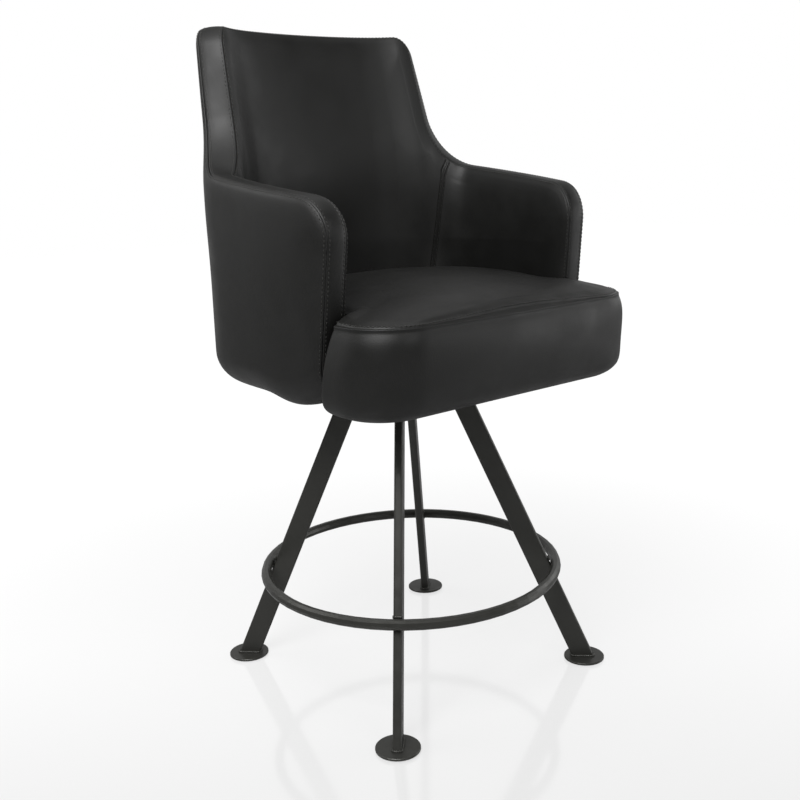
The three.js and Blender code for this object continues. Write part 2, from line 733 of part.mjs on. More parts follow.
function plywoodTub() {
  const rise = COVER_FOOT_HEIGHT + TOUCH_GAP;
  const innerDepth = CORE_DEPTH + CORE_THICKNESS;
  return wallLayer(
    wallColumns().columns,
    [{ share: -1, rise, depth: CORE_DEPTH }, ...faceAt(CORE_DEPTH, 0)],
    [{ share: -1, rise, depth: innerDepth }, ...faceAt(innerDepth, 0)],
  );
}

// An inner pad, rounded where its face meets the edge strip.
function innerPad(columns) {
  return wallLayer(columns, faceAt(PAD_DEPTH, 0), [
    ...faceAt(TUB_WALL, -PAD_ROUNDING),
    { share: 1, rise: 0, depth: TUB_WALL - PAD_ROUNDING },
  ]);
}

function backPad() {
  const { columns, seam } = wallColumns();
  const own = columns.slice(seam, columns.length - seam);
  const shift = TOUCH_GAP / 2;
  return innerPad([
    shiftedColumn(own[0], shift),
    ...own.slice(1, -1),
    shiftedColumn(own.at(-1), -shift),
  ]);
}

function armPad(side) {
  const { columns, seam } = wallColumns();
  const own = columns.slice(columns.length - seam - 1);
  const pad = [shiftedColumn(own[0], TOUCH_GAP / 2), ...own.slice(1)];
  return innerPad(side < 0 ? pad.map(mirrorColumn) : pad);
}

// How far the wall's rounded bottom edge stands above its lowest line at a depth.
function bottomRise(depth) {
  const flat = Math.max(BOTTOM_ROUNDING - depth, 0);
  return BOTTOM_ROUNDING - Math.sqrt(BOTTOM_ROUNDING ** 2 - flat ** 2);
}

// The padded strip along the whole rim: its face is crowned, its two edges are rounded, its
// underside is hollowed a little over the plywood, and its ends follow the bottom rounding.
function edgeStrip() {
  const round = EDGE_STRIP_ROUNDING;
  const bevel = round * (1 - Math.SQRT1_2);
  const section = [
    [EDGE_STRIP_HEIGHT, 0],
    [round, 0],
    [bevel, bevel],
    [0, round],
    [-EDGE_STRIP_CROWN, TUB_WALL / 2],
    [0, TUB_WALL - round],
    [bevel, TUB_WALL - bevel],
    [round, TUB_WALL],
    [EDGE_STRIP_HEIGHT, TUB_WALL],
    [EDGE_STRIP_HEIGHT - EDGE_STRIP_HOLLOW, PAD_DEPTH],
    [EDGE_STRIP_HEIGHT - EDGE_STRIP_HOLLOW, CORE_DEPTH],
  ];
  const paths = section.map(([inset, depth]) => {
    const half = rimPath(inset);
    half[0].lerp(half[1], bottomRise(depth) / (half[1].y - half[0].y));
    return bothSides(half);
  });
  const rings = paths[0].map((_, station) =>
    section.map(([, depth], k) => {
      const at = paths[k][station];
      return tubPoint(at.x, at.y, depth);
    }),
  );
  return loft(rings, flatCap(section.map(([inset, depth]) => new THREE.Vector2(depth, -inset))));
}

// Seat board, brackets, dust cover and cushion

// Where the outer face of the arm's front edge stands at a height.
function armFrontAt(height) {
  const share = (height - TUB_BOTTOM) / (ARM_NOSE_HEIGHT - TUB_BOTTOM);
  return planAt(THREE.MathUtils.lerp(ARM_FOOT_REACH, ARM_NOSE_REACH, share));
}

// The cushion's nose is as wide as the arms and a little more, and starts before their fronts.
const ARM_FOOT_Y = armFrontAt(TUB_BOTTOM).y;
const CUSHION_EAR_Y = armFrontAt(CUSHION_SEAM_HEIGHT).y - CUSHION_EAR_GAP;
const CUSHION_FRONT_Y = Math.min(ARM_FOOT_Y, armFrontAt(CUSHION_SEAM_HEIGHT).y) - CUSHION_NOSE_LENGTH;
const CUSHION_HALF_WIDTH = armFrontAt(CUSHION_SEAM_HEIGHT).x + CUSHION_SIDE_PROUD;

// Half of the seat's plan on the +X side, from the back's middle to the front's middle. Along
// the tub it keeps a depth from the wall's outer face; before the arms it is a wide nose.
function halfSeatPlan({ wallDepth, halfWidth, front, earBack, cornerRadius, earRadius }) {
  const reachEnd = reachAtY(earBack);
  const tongue = Array.from({ length: TONGUE_STEPS + 1 }, (_, k) => {
    const { x, y } = tubPoint((reachEnd * k) / TONGUE_STEPS, TUB_BOTTOM, wallDepth);
    return new THREE.Vector2(x, y);
  });
  const corner = (x, y, radius) => ({ at: new THREE.Vector2(x, y), radius });
  const nose = roundedPath(
    [
      corner(tongue.at(-1).x, earBack, 0),
      corner(halfWidth, earBack, earRadius),
      corner(halfWidth, front, cornerRadius),
      corner(0, front, 0),
    ],
    ROUNDING_FACETS + 1,
  );
  return [...tongue.slice(0, -1), ...nose];
}

// How far round the wall its outer face reaches a given Y, on the side arc.
function reachAtY(y) {
  let [near, far] = [0, 2 * ARM_NOSE_REACH];
  for (let k = 0; k < 40; k++) {
    const middle = (near + far) / 2;
    if (planAt(middle).y > y) {
      near = middle;
    } else {
      far = middle;
    }
  }
  return near;
}

function seatPlan(sizes) {
  const half = halfSeatPlan(sizes);
  const mirrored = half.map(({ x, y }) => new THREE.Vector2(-x, y));
  return [...mirrored, ...half.slice(1, -1).reverse()];
}

// The plan of the board, or of what is cut for it, drawn in from the cushion's widest plan.
function boardPlan(wallDepth) {
  return seatPlan({
    wallDepth,
    halfWidth: CUSHION_HALF_WIDTH - CUSHION_SKIRT,
    front: CUSHION_FRONT_Y + CUSHION_SKIRT,
    earBack: ARM_FOOT_Y - CUSHION_EAR_GAP / 2 - CUSHION_SKIRT,
    cornerRadius: CUSHION_FRONT_CORNER_RADIUS / 2,
    earRadius: CUSHION_EAR_CORNER_RADIUS,
  });
}

function seatBoard() {
  const shape = new THREE.Shape(boardPlan(TUB_WALL + BOARD_WALL_CLEARANCE));
  shape.holes.push(roundHole(0, 0, BOARD_PIN_HOLE_RADIUS));
  for (const { x, y } of UPPER_SCREW_PLACES) {
    shape.holes.push(roundHole(x, y, TEE_NUT_BARREL_RADIUS + TOUCH_GAP));
  }
  return prism(shape, BOARD_BOTTOM, BOARD_TOP, SMALL_ROUND_FACETS / 2);
}

function dustCover() {
  const shape = new THREE.Shape(boardPlan(TUB_WALL + BOARD_WALL_CLEARANCE + DUST_COVER_INSET));
  const hole = SWIVEL_PLATE_SIZE + 2 * DUST_COVER_HOLE_CLEARANCE;
  shape.holes.push(roundedRectangle(hole, hole, PLATE_CORNER_RADIUS));
  const top = BOARD_BOTTOM - TOUCH_GAP;
  return prism(shape, top - DUST_COVER_THICKNESS, top);
}

// An angle bracket: its foot lies on the board, and its upright is flat against the curved
// plywood tub, so it touches along its two side edges.
function bracket(reach) {
  const outer = CORE_DEPTH + CORE_THICKNESS + BRACKET_WALL_GAP;
  const inner = outer + BRACKET_THICKNESS;
  const [bottom, top] = [BRACKET_BOTTOM, BRACKET_BOTTOM + BRACKET_THICKNESS];
  const section = [
    [outer, bottom],
    [outer + BRACKET_FOOT, bottom],
    [outer + BRACKET_FOOT, top],
    [inner, top],
    [inner, bottom + BRACKET_UPRIGHT],
    [outer, bottom + BRACKET_UPRIGHT],
  ];
  const rings = [-BRACKET_WIDTH / 2, BRACKET_WIDTH / 2].map((offset) =>
    section.map(([depth, height]) => tubPoint(reach + offset, height, depth)),
  );
  return loft(rings, flatCap(section.map(([depth, height]) => new THREE.Vector2(depth, height))));
}

// The crown stands full over the middle of the seat and falls towards its sides and ends.
function crownAt({ x, y }) {
  const across = (x / CROWN_REACH) ** 2;
  const along = ((y - CROWN_CENTRE_Y) / CROWN_REACH) ** 2;
  return CUSHION_CROWN - CROWN_SIDE_FALL * across - CROWN_END_FALL * along;
}

// One ring of the cushion's side, from its row of shares.
function cushionPlan({ up, side, front, corner, ear, tongue }) {
  const height = THREE.MathUtils.lerp(CUSHION_BOTTOM, CUSHION_SEAM_HEIGHT, up);
  return seatPlan({
    wallDepth: TUB_WALL + TOUCH_GAP + tongue * CUSHION_DRAW,
    halfWidth: CUSHION_HALF_WIDTH - side * CUSHION_DRAW,
    front: CUSHION_FRONT_Y + front * CUSHION_DRAW,
    earBack: armFrontAt(height).y - ear * CUSHION_EAR_GAP,
    cornerRadius: corner * CUSHION_FRONT_CORNER_RADIUS,
    earRadius: CUSHION_EAR_CORNER_RADIUS,
  });
}

// The cushion stands on the board and its brackets, with a skirt round the board's front.
function seatCushion() {
  const plans = CUSHION_RING_SHARES.map(cushionPlan);
  const rings = plans.map((plan, i) => {
    const { up } = CUSHION_RING_SHARES[i];
    const height = THREE.MathUtils.lerp(CUSHION_BOTTOM, CUSHION_SEAM_HEIGHT, up);
    return plan.map(({ x, y }) => new THREE.Vector3(x, y, height));
  });
  const centre = new THREE.Vector2(0, CUSHION_EAR_Y - CUSHION_EAR_CORNER_RADIUS);
  for (const share of CROWN_RING_SHARES) {
    const rise = 1 - Math.exp(-share / CROWN_EDGE_SHARE);
    rings.push(
      plans.at(-1).map((edge) => {
        const at = edge.clone().lerp(centre, share);
        return new THREE.Vector3(at.x, at.y, CUSHION_SEAM_HEIGHT + rise * crownAt(at));
      }),
    );
  }
  const [left, right] = [-CUSHION_HALF_WIDTH, CUSHION_HALF_WIDTH];
  const earBack = ARM_FOOT_Y - CUSHION_EAR_GAP / 2;
  const tubPocket = new THREE.Shape([
    new THREE.Vector2(left, earBack),
    new THREE.Vector2(right, earBack),
    new THREE.Vector2(right, TUB_REAR),
    new THREE.Vector2(left, TUB_REAR),
  ]);
  const boardPocket = new THREE.Shape(boardPlan(TUB_WALL - CUT_OVERRUN));
  const under = CUSHION_BOTTOM - CUT_OVERRUN;
  return cut(
    loft(rings, flatCap(rings.at(-1).map(({ x, y }) => new THREE.Vector2(x, y)))),
    prism(tubPocket, under, POCKET_TOP),
    prism(boardPocket, under, POCKET_TOP),
  );
}

// Assembly

const legNames = ["rear_right", "rear_left", "front_left", "front_right"];
const base = new THREE.Group();
LEG_TURNS_SHARES.forEach((turnShare, i) => {
  base.add(piece(`leg_${legNames[i]}`, leg(turnShare), POWDER_COAT));
  base.add(piece(`foot_disc_${legNames[i]}`, atFoot(footDisc(), turnShare), POWDER_COAT));
  base.add(piece(`foot_glide_${legNames[i]}`, atFoot(footGlide(), turnShare), NYLON));
});
base.add(piece("foot_ring", footRing(), POWDER_COAT));
const legPlate = plate(
  LEG_PLATE_SIZE,
  LEG_PLATE_BOTTOM,
  LEG_PLATE_BOTTOM + LEG_PLATE_THICKNESS,
  LOWER_SCREW_PLACES,
);
base.add(piece("leg_plate", legPlate, POWDER_COAT));
base.add(piece("swivel_lower_plate", lowerPlate(), ZINC));
LOWER_SCREW_PLACES.forEach((place, i) => {
  base.add(piece(`lower_plate_screw_${i + 1}`, flatScrew(place, LOWER_PLATE_TOP, -1), ZINC));
});
BALL_PLACES.forEach((place, i) => {
  base.add(piece(`bearing_ball_${i + 1}`, ball(place), BALL_STEEL));
});
base.add(piece("ball_cage", ballCage(), ZINC));
base.add(piece("swivel_pin", swivelPin(), ZINC));
base.add(piece("pin_washer", pinWasher(), ZINC));
base.add(piece("pin_nut", pinNut(), ZINC));

const seat = new THREE.Group();
seat.add(piece("swivel_upper_plate", upperPlate(), ZINC));
UPPER_SCREW_PLACES.forEach((place, i) => {
  seat.add(piece(`upper_plate_screw_${i + 1}`, flatScrew(place, UPPER_PLATE_BOTTOM, 1), ZINC));
  seat.add(piece(`tee_nut_${i + 1}`, teeNut(place), ZINC));
});
seat.add(piece("seat_board", seatBoard(), PLYWOOD));
seat.add(piece("dust_cover", dustCover(), DUST_CLOTH));
BRACKET_PLACE_SHARES.forEach((share, i) => {
  seat.add(piece(`tub_bracket_${i + 1}`, bracket(share * ARM_FOOT_REACH), ZINC));
});
seat.add(piece("plywood_tub", plywoodTub(), PLYWOOD));
seat.add(piece("outer_cover", outerCover(), LEATHER));
seat.add(piece("edge_strip", edgeStrip(), LEATHER));
seat.add(piece("back_pad", backPad(), LEATHER));
seat.add(piece("arm_pad_left", armPad(-1), LEATHER));
seat.add(piece("arm_pad_right", armPad(1), LEATHER));
seat.add(piece("seat_cushion", seatCushion(), LEATHER));

const stool = new THREE.Group();
stool.add(base, seat);

export default stool;
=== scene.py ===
"""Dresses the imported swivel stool: sewn leather, stitching, welds, finishes and the studio."""

import math

import bmesh
import bpy
import numpy as np
from mathutils import Matrix, Vector
from mathutils.kdtree import KDTree


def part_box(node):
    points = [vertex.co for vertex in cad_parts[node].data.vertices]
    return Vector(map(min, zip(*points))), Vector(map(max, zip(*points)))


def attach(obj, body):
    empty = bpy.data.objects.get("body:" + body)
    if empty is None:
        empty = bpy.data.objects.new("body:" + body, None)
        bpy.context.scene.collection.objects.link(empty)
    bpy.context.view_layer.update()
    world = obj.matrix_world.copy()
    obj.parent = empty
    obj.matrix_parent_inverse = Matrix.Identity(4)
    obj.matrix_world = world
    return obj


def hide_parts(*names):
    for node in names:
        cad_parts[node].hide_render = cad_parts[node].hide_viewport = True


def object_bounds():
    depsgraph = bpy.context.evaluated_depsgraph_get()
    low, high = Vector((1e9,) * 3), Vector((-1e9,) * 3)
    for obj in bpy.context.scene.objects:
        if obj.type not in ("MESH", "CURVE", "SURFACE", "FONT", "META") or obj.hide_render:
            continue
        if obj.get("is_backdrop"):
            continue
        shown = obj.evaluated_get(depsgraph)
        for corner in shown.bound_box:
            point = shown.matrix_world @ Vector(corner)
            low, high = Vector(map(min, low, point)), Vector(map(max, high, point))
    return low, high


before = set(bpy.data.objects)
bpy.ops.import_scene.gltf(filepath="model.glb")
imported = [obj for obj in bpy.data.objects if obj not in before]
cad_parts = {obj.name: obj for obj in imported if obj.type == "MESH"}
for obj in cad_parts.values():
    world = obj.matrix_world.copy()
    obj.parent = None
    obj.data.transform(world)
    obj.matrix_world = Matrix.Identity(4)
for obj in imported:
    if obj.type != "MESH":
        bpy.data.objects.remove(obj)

bl_info = {
    "name": "Swivel Stool Upholstery",
    "version": (1, 0, 0),
    "blender": (4, 5, 0),
    "location": "View3D > Sidebar > Stool",
    "description": "Sews the leather, welds the base and sets up the studio for a swivel stool",
    "category": "Object",
}

# Millimetres are used for every shape below, and turned to metres where a mesh is made.
MM = 0.001
SEAT_BODY = "seat"
BASE_BODY = "base"

# Tub plan: three tangent arcs a side, from the middle of the back round to the arm's front
TUB_REAR = 236
BACK_ARC_RADIUS = 520
BACK_ARC_LENGTH = 152.5
CORNER_ARC_RADIUS = 157
CORNER_ARC_LENGTH = 182.8
SIDE_ARC_RADIUS = 640
TUB_WALL = 45

# Tub side outline, unrolled: distance round the wall, height, and the corner's radius
TUB_BOTTOM = 480
TUB_TOP = 990
ARM_FRONT_REACH = 544
ARM_FRONT_HEIGHT = 491.8
ARM_NOSE_REACH = 574.5
ARM_NOSE_HEIGHT = 743.6
RIM_CORNERS = [
    (ARM_FRONT_REACH, ARM_FRONT_HEIGHT, 0),
    (ARM_NOSE_REACH, ARM_NOSE_HEIGHT, 53),
    (248, 788, 95),
    (225, TUB_TOP, 34),
    (0, TUB_TOP, 0),
]
BOTTOM_ROUNDING = 44
FOOT_SAG = 9
FOOT_SAG_BACK = 74
FOOT_SAG_SPREAD = 38
FOOT_RISE = 12
FOOT_RISE_LENGTH = 50
PAD_BOTTOM = 548
PAD_SEAM_FOOT_REACH = 204
PAD_SEAM_TOP_REACH = 287

# How the back leans and narrows towards its top
LEAN_START = 740
LEAN_BLEND = 100
LEAN_AT_TOP = 32
NARROWING_START = 760
NARROWING_SHARE = 0.038
NARROWING_POWER = 1.3

# Sewn seams on the rim: depth in from the outer face
OUTER_SEAM_DEPTH = 7
INNER_SEAM_DEPTH = 36.5
# Where a panel's band along the rim ends, in from the edge
BORDER = 26
# Padding beside the wings: how thick, from which reaches and heights, and how it thins upwards
WING_PADDING = 12
WING_TAPER = 7
WING_FRONT = (330, 250)
WING_BACK = (110, 220)
WING_FOOT = (600, 760)
WING_TAPER_HEIGHTS = (800, 985)
# A thicker wall has a fuller corner, in full from this much padding on.
CORNER_FULLNESS = 3.5
CORNER_FULL_FROM = 4
# The padding fills the bends of the plan over this length, on either side of where arcs meet.
BEND_EASE = 45
BEND_FILL = 8.5
# Beside the rim the inner panels still round off by this much, less with each length onward.
EDGE_ROUND = 0.5
EDGE_ROUND_LENGTH = 11
# Up to this far over an arm's front foot, the panels follow the rise of the bottom edge.
FOOT_FADE_HEIGHT = 110
LEATHER_TURN_IN = 9

# Sections across the rim: in from the edge, and in from the outer face
OUTER_SECTION = [
    (BORDER, 0), (19, 0.3), (13, 0.9), (8, 1.9), (4.4, 3.3), (1.6, 5), (0.8, 6.1),
    (1.9, OUTER_SEAM_DEPTH),
]
STRIP_SECTION = [
    (1.9, OUTER_SEAM_DEPTH + 0.1), (0.3, OUTER_SEAM_DEPTH + 1.1), (-0.2, 10.5), (-1, 15),
    (-1.3, 21.5), (-1, 28.5), (-0.2, 33), (0.3, INNER_SEAM_DEPTH - 1.1),
    (1.9, INNER_SEAM_DEPTH - 0.1),
]
INNER_SECTION = [
    (1.9, INNER_SEAM_DEPTH), (0.8, 37.5), (2.2, 39.2), (5.5, 41), (9.5, 42.5), (14.5, 43.5),
    (20, 44.15), (BORDER, TUB_WALL - EDGE_ROUND),
]

# How finely the panels are cut: the step along the rim, rows of points, rounds of smoothing
PANEL_STEP = 5
OUTER_ROWS = 56
BAND_ROWS = 24
STRIP_ROWS = 27
PAD_ROWS = 70
RIM_SMOOTHING = 6
SEAM_FINE_HALF = 9
SEAM_FINE_COLUMNS = 25
# How many plane waves make up a patch of noise, and the seed of each use
NOISE_WAVES = 9
OUTER_SEED = 3
PAD_SEED = 11
PUCKER_SEED = 21
CREASE_SEED = 22
WELD_SEED = 5
CLOTH_SEED = 31

# Swells of the panels: heights in millimetres and the lengths over which they rise, all of
# them only beyond a flat margin along the rim
FLAT_MARGIN = 6
OUTER_SWELL = 1.4
OUTER_SWELL_LENGTH = 34
OUTER_UNEVEN = 0.6
OUTER_UNEVEN_WAVE = 140
PAD_SWELL_HEIGHTS = (600, 660)
PAD_SWELL_LENGTH = 38
PAD_SEAM_SWELL_LENGTH = 34
PAD_UNEVEN = 0.45
PAD_UNEVEN_WAVE = 150
UNEVEN_LENGTH = 40
BEND_FILL_LENGTH = 12
PAD_STITCH_INSET = 4

# Seat cushion
CUSHION_BOTTOM = 470
CUSHION_SEAM_HEIGHT = 590
CUSHION_FRONT = 259
CUSHION_HALF_WIDTH = 255
CUSHION_CORNER_RADIUS = 89
CUSHION_EAR_GAP = 16.3
CUSHION_EAR_RADIUS = 8
CUSHION_CENTRE_Y = -163
CUSHION_DRAW = 14
CUSHION_WALL_GAP = 0.3
TONGUE_POINTS = 60
# Its underside follows the board inside the skirt, which ends in two short turned-in rows.
POCKET_INSETS = (7, 2)
POCKET_GAP = 0.4
POCKET_SLOPE_COLUMNS = 3
# Distances in from the cushion's seam, close together where it is sewn, then shares of the way
SEAM_INSETS = [1.2, 2.4, 3.5, 4.6, 5.8, 7.5, 10, 13, 17, 22]
TOP_SHARES = np.linspace(0.16, 0.96, 22)
# The cushion's middle counts as this far in from its seam.
TOP_INSET = 200.0
CUSHION_STITCH_INSET = 4.6
THREAD_LIFT = 0.35
# Beside its seam the cushion is drawn in and rolls: how high, how far in and how wide
CUSHION_ROLLS = [
    (0.7, 2.4, 1.2), (0.5, 10, 4), (0.6, -5, 4), (-1.7, 0, 1.3), (-0.9, CUSHION_STITCH_INSET, 1.2),
]
PUCKER_HEIGHT = 0.22
PUCKER_WAVE = 11
PUCKER_INSET = 7
CREASE_HEIGHT = 0.4
CREASE_WAVE = 150
CREASE_INSETS = (8, 38)
# The cushion's side, from the bottom to the seam: the share of the way up, then the shares of
# the sides' and the front's draw-in, the corner's radius, the ear's gap and the tongue's draw-in
CUSHION_SIDE_SHARES = [
    (0, 1.8, 2.29, 0.62, 1.52, 1.6),
    (0.03, 0.93, 1.46, 0.82, 1, 0.8),
    (0.085, 0.36, 0.89, 0.88, 0.65, 0.3),
    (0.2, 0.04, 0.5, 0.9, 0.5, 0),
    (0.4, 0, 0.33, 0.94, 0.57, 0.15),
    (0.63, 0.14, 0.12, 0.9, 0.68, 0.15),
    (0.85, 0.5, 0, 0.83, 0.86, 0),
    (1, 0.93, 0.29, 0.83, 1, 0.3),
]

# Filling of the cushion by a short cloth simulation, its lengths in metres
FILL_VOXEL = 0.007
FILL_STEPS = 20
FILL_LIMIT = 0.005
FILL_SPREAD = 0.012
FILL_NEIGHBOURS = 24

# Feet, legs and ring
FOOT_CIRCLE_RADIUS = 275
LEG_TOP_CIRCLE_RADIUS = 76
LEG_WIDTH = 31.75
LEG_THICKNESS = 12.7
RING_HEIGHT = 164
DISC_TOP = 5.1
LEG_CORNER_RADIUS = 3.2
WELD_STEP = 0.9
WELD_RIPPLE_PITCH = 3.0
# Weld beads: over the disc and under the plate, and beside where a leg meets the ring
DISC_WELD_OVER = 0.8
PLATE_WELD_UNDER = 1.1
RING_WELD_OUT = 1.2
RING_WELD_AWAY = 6.9
RING_WELD_HALF = 7.0

# Dust cover under the board: a stretched cloth with a folded edge, held by staples
HEM_WIDTH = 11
HEM_DROP = 0.5
HEM_BLEND = 6
CLOTH_SAG = 1.2
CLOTH_UNEVEN = 0.3
CLOTH_UNEVEN_WAVE = 70
STAPLE_PITCH = 38
STAPLE_WIDTH = 10
STAPLE_INSET = 5
STAPLE_RADIUS = 0.5
STAPLE_DRAW = 0.3
STAPLE_DRAW_LENGTH = 14
CLOTH_LIFT = 0.4
CLOTH_SQUARE = 5
CLOTH_SAG_LENGTH = 25
CLOTH_OUTLINE_STEP = 1.5

# From the stool away from the camera, where the room is brightest
BEHIND = (0.63, 0.77, 0.1)
FLOOR_HALF = 9000
# Soft lamps: name, place and size in millimetres, power in watts
SOFTBOXES = [
    ("high softbox", (-1500, -750, 2180), 1300, 54),
    ("front softbox", (0, -2300, 1500), 1200, 8),
    ("low right softbox", (2100, -1500, 700), 1200, 13),
    ("right softbox", (2300, -300, 1300), 1300, 8),
    ("left softbox", (-1300, 1500, 2100), 1300, 13),
    ("low left softbox", (-1700, 1700, 1100), 1300, 4),
    ("overhead softbox", (0, 0, 2700), 1600, 10),
]
LAMP_AIM = (0, 0, 650)
# The camera's tilt, in radians
CAMERA_PITCH = 0.2274
CAMERA_YAW = -0.0051
CAMERA_ROLL = 0.0362
SENSOR_WIDTH = 36


def linear(text):
    """An sRGB hex colour as linear red, green and blue."""
    values = [int(text[i : i + 2], 16) / 255 for i in (1, 3, 5)]
    return tuple(v / 12.92 if v <= 0.04045 else ((v + 0.055) / 1.055) ** 2.4 for v in values)


# Sizes and colours a user may change


class StoolLeather(bpy.types.PropertyGroup):
    """Sizes and colours of the sewn leather."""

    leather: bpy.props.FloatVectorProperty(
        name="Leather", description="Colour of the leather", subtype="COLOR", size=3,
        min=0, max=1, default=linear("#141413"),
    )
    thread: bpy.props.FloatVectorProperty(
        name="Thread", description="Colour of the topstitching thread", subtype="COLOR",
        size=3, min=0, max=1, default=linear("#1f1f1c"),
    )
    grain: bpy.props.FloatProperty(
        name="Grain", description="Width of the leather's grain cells", subtype="DISTANCE",
        unit="LENGTH", min=0.0003, max=0.01, default=0.0016,
    )
    puff: bpy.props.FloatProperty(
        name="Padding", description="How far the inner panels swell between their seams",
        subtype="DISTANCE", unit="LENGTH", min=0, max=0.006, default=0.003,
    )
    arm_puff: bpy.props.FloatProperty(
        name="Arm padding", description="How far the arms' inner panels swell between their seams",
        subtype="DISTANCE", unit="LENGTH", min=0, max=0.015, default=0.008,
    )
    groove: bpy.props.FloatProperty(
        name="Seam groove", description="How deep a seam is drawn in", subtype="DISTANCE",
        unit="LENGTH", min=0, max=0.004, default=0.0022,
    )
    stitch: bpy.props.FloatProperty(
        name="Stitch", description="Length of one stitch", subtype="DISTANCE",
        unit="LENGTH", min=0.001, max=0.01, default=0.0036,
    )
    pitch: bpy.props.FloatProperty(
        name="Stitch pitch", description="Distance from one stitch to the next",
        subtype="DISTANCE", unit="LENGTH", min=0.002, max=0.02, default=0.0058,
    )
    thread_radius: bpy.props.FloatProperty(
        name="Thread radius", description="Half the thickness of the thread",
        subtype="DISTANCE", unit="LENGTH", min=0.0001, max=0.002, default=0.0006,
    )


class StoolHardware(bpy.types.PropertyGroup):
    """Sizes and colours of the base, the swivel and the board."""

    coat: bpy.props.FloatVectorProperty(
        name="Powder coat", description="Colour of the powder coat on the base",
        subtype="COLOR", size=3, min=0, max=1, default=linear("#393936"),
    )
    zinc: bpy.props.FloatVectorProperty(
        name="Zinc", description="Colour of the zinc plate", subtype="COLOR", size=3,
        min=0, max=1, default=linear("#b4b5b2"),
    )
    wood: bpy.props.FloatVectorProperty(
        name="Plywood", description="Colour of the birch plywood", subtype="COLOR", size=3,
        min=0, max=1, default=linear("#c9a877"),
    )
    bead: bpy.props.FloatProperty(
        name="Weld bead", description="Radius of the weld beads", subtype="DISTANCE",
        unit="LENGTH", min=0.0005, max=0.005, default=0.0022,
    )


class StoolStudio(bpy.types.PropertyGroup):
    """The floor, the light and the camera."""

    floor: bpy.props.FloatVectorProperty(
        name="Floor", description="Colour of the floor", subtype="COLOR", size=3,
        min=0, max=1, default=linear("#f4f4f4"),
    )
    turn: bpy.props.FloatProperty(
        name="Camera turn", description="Where the camera stands round the stool",
        subtype="ANGLE", default=math.radians(-39.5),
    )
    distance: bpy.props.FloatProperty(
        name="Camera distance", description="From the swivel axis to the camera",
        subtype="DISTANCE", unit="LENGTH", min=0.5, default=1.525,
    )
    height: bpy.props.FloatProperty(
        name="Camera height", description="Height of the camera over the floor",
        subtype="DISTANCE", unit="LENGTH", min=0, default=0.7831,
    )
    lens: bpy.props.FloatProperty(
        name="Lens", description="Focal length on a sensor 36 mm wide", min=10, max=200,
        default=45.63,
    )


# Plain mesh tools


def mesh_piece(name, points, faces, smooth=True):
    """A mesh object from points in millimetres and faces."""
    mesh = bpy.data.meshes.new(name)
    mesh.from_pydata([tuple(p) for p in np.asarray(points) * MM], [], faces)
    mesh.validate()
    mesh.update()
    mesh.shade_smooth() if smooth else mesh.shade_flat()
    piece = bpy.data.objects.new(name, mesh)
    bpy.context.scene.collection.objects.link(piece)
    return piece


def grid_faces(columns, rows, closed=False, start=0):
    """Quads between neighbouring columns of points."""
    last = columns if closed else columns - 1
    at = lambda i, j: start + (i % columns) * rows + j
    return [
        (at(i, j), at(i + 1, j), at(i + 1, j + 1), at(i, j + 1))
        for i in range(last)
        for j in range(rows - 1)
    ]


def waves(points, wavelength, seed):
    """Smooth seeded noise of about one unit height at points, from plane waves."""
    rng = np.random.default_rng(seed)
    total = np.zeros(np.asarray(points).shape[:-1])
    for _ in range(NOISE_WAVES):
        direction = rng.normal(size=3)
        direction /= np.linalg.norm(direction)
        length = wavelength * rng.uniform(0.7, 1.4)
        phase = rng.uniform(0, 2 * np.pi)
        total += np.sin(points @ direction * 2 * np.pi / length + phase)
    return total / math.sqrt(NOISE_WAVES)


def bump_at(distance, place, width):
    """A smooth bump of one unit height at a place along a distance."""
    return np.exp(-(((distance - place) / width) ** 2))


def share_between(value, start, end):
    """0 up to a start and 1 from an end on, which may be the lower of the two."""
    return np.clip((value - start) / (end - start), 0, 1)


def eased(share):
    """A share that starts and ends without a crease."""
    return share**2 * (3 - 2 * share)


def run_length(line):
    """Distances along a line of points, from its start."""
    return np.concatenate([[0], np.cumsum(np.linalg.norm(np.diff(line, axis=0), axis=1))])


def along_line(at, length, line):
    """Points of a line at distances along it."""
    return np.stack([np.interp(at, length, line[:, k]) for k in range(line.shape[1])], -1)


def tree_of(points):
    """A search tree of points."""
    tree = KDTree(len(points))
    for i, place in enumerate(points):
        tree.insert(place, i)
    tree.balance()
    return tree


def bead_run(centres, radii, sides=6):
    """Points and faces of rounded runs: each follows its own centres and radii."""
    along = np.gradient(centres, axis=1)
    along /= np.linalg.norm(along, axis=2)[..., None]
    guide = np.where(np.abs(along[..., 2:3]) > 0.9, [1.0, 0, 0], [0, 0, 1.0])
    across = np.cross(along, guide)
    across /= np.linalg.norm(across, axis=2)[..., None]
    other = np.cross(along, across)
    turn = np.arange(sides) * 2 * np.pi / sides
    spokes = np.cos(turn)[:, None] * across[..., None, :] + np.sin(turn)[:, None] * other[..., None, :]
    rings = centres[..., None, :] + spokes * radii[..., None, None]
    runs, steps = centres.shape[:2]
    faces = []
    for k in range(runs):
        start = k * steps * sides
        for i in range(steps - 1):
            for j in range(sides):
                a, b = start + i * sides + j, start + i * sides + (j + 1) % sides
                faces.append((a, b, b + sides, a + sides))
        faces.append(tuple(start + j for j in reversed(range(sides))))
        faces.append(tuple(start + (steps - 1) * sides + j for j in range(sides)))
    return rings.reshape(-1, 3), faces


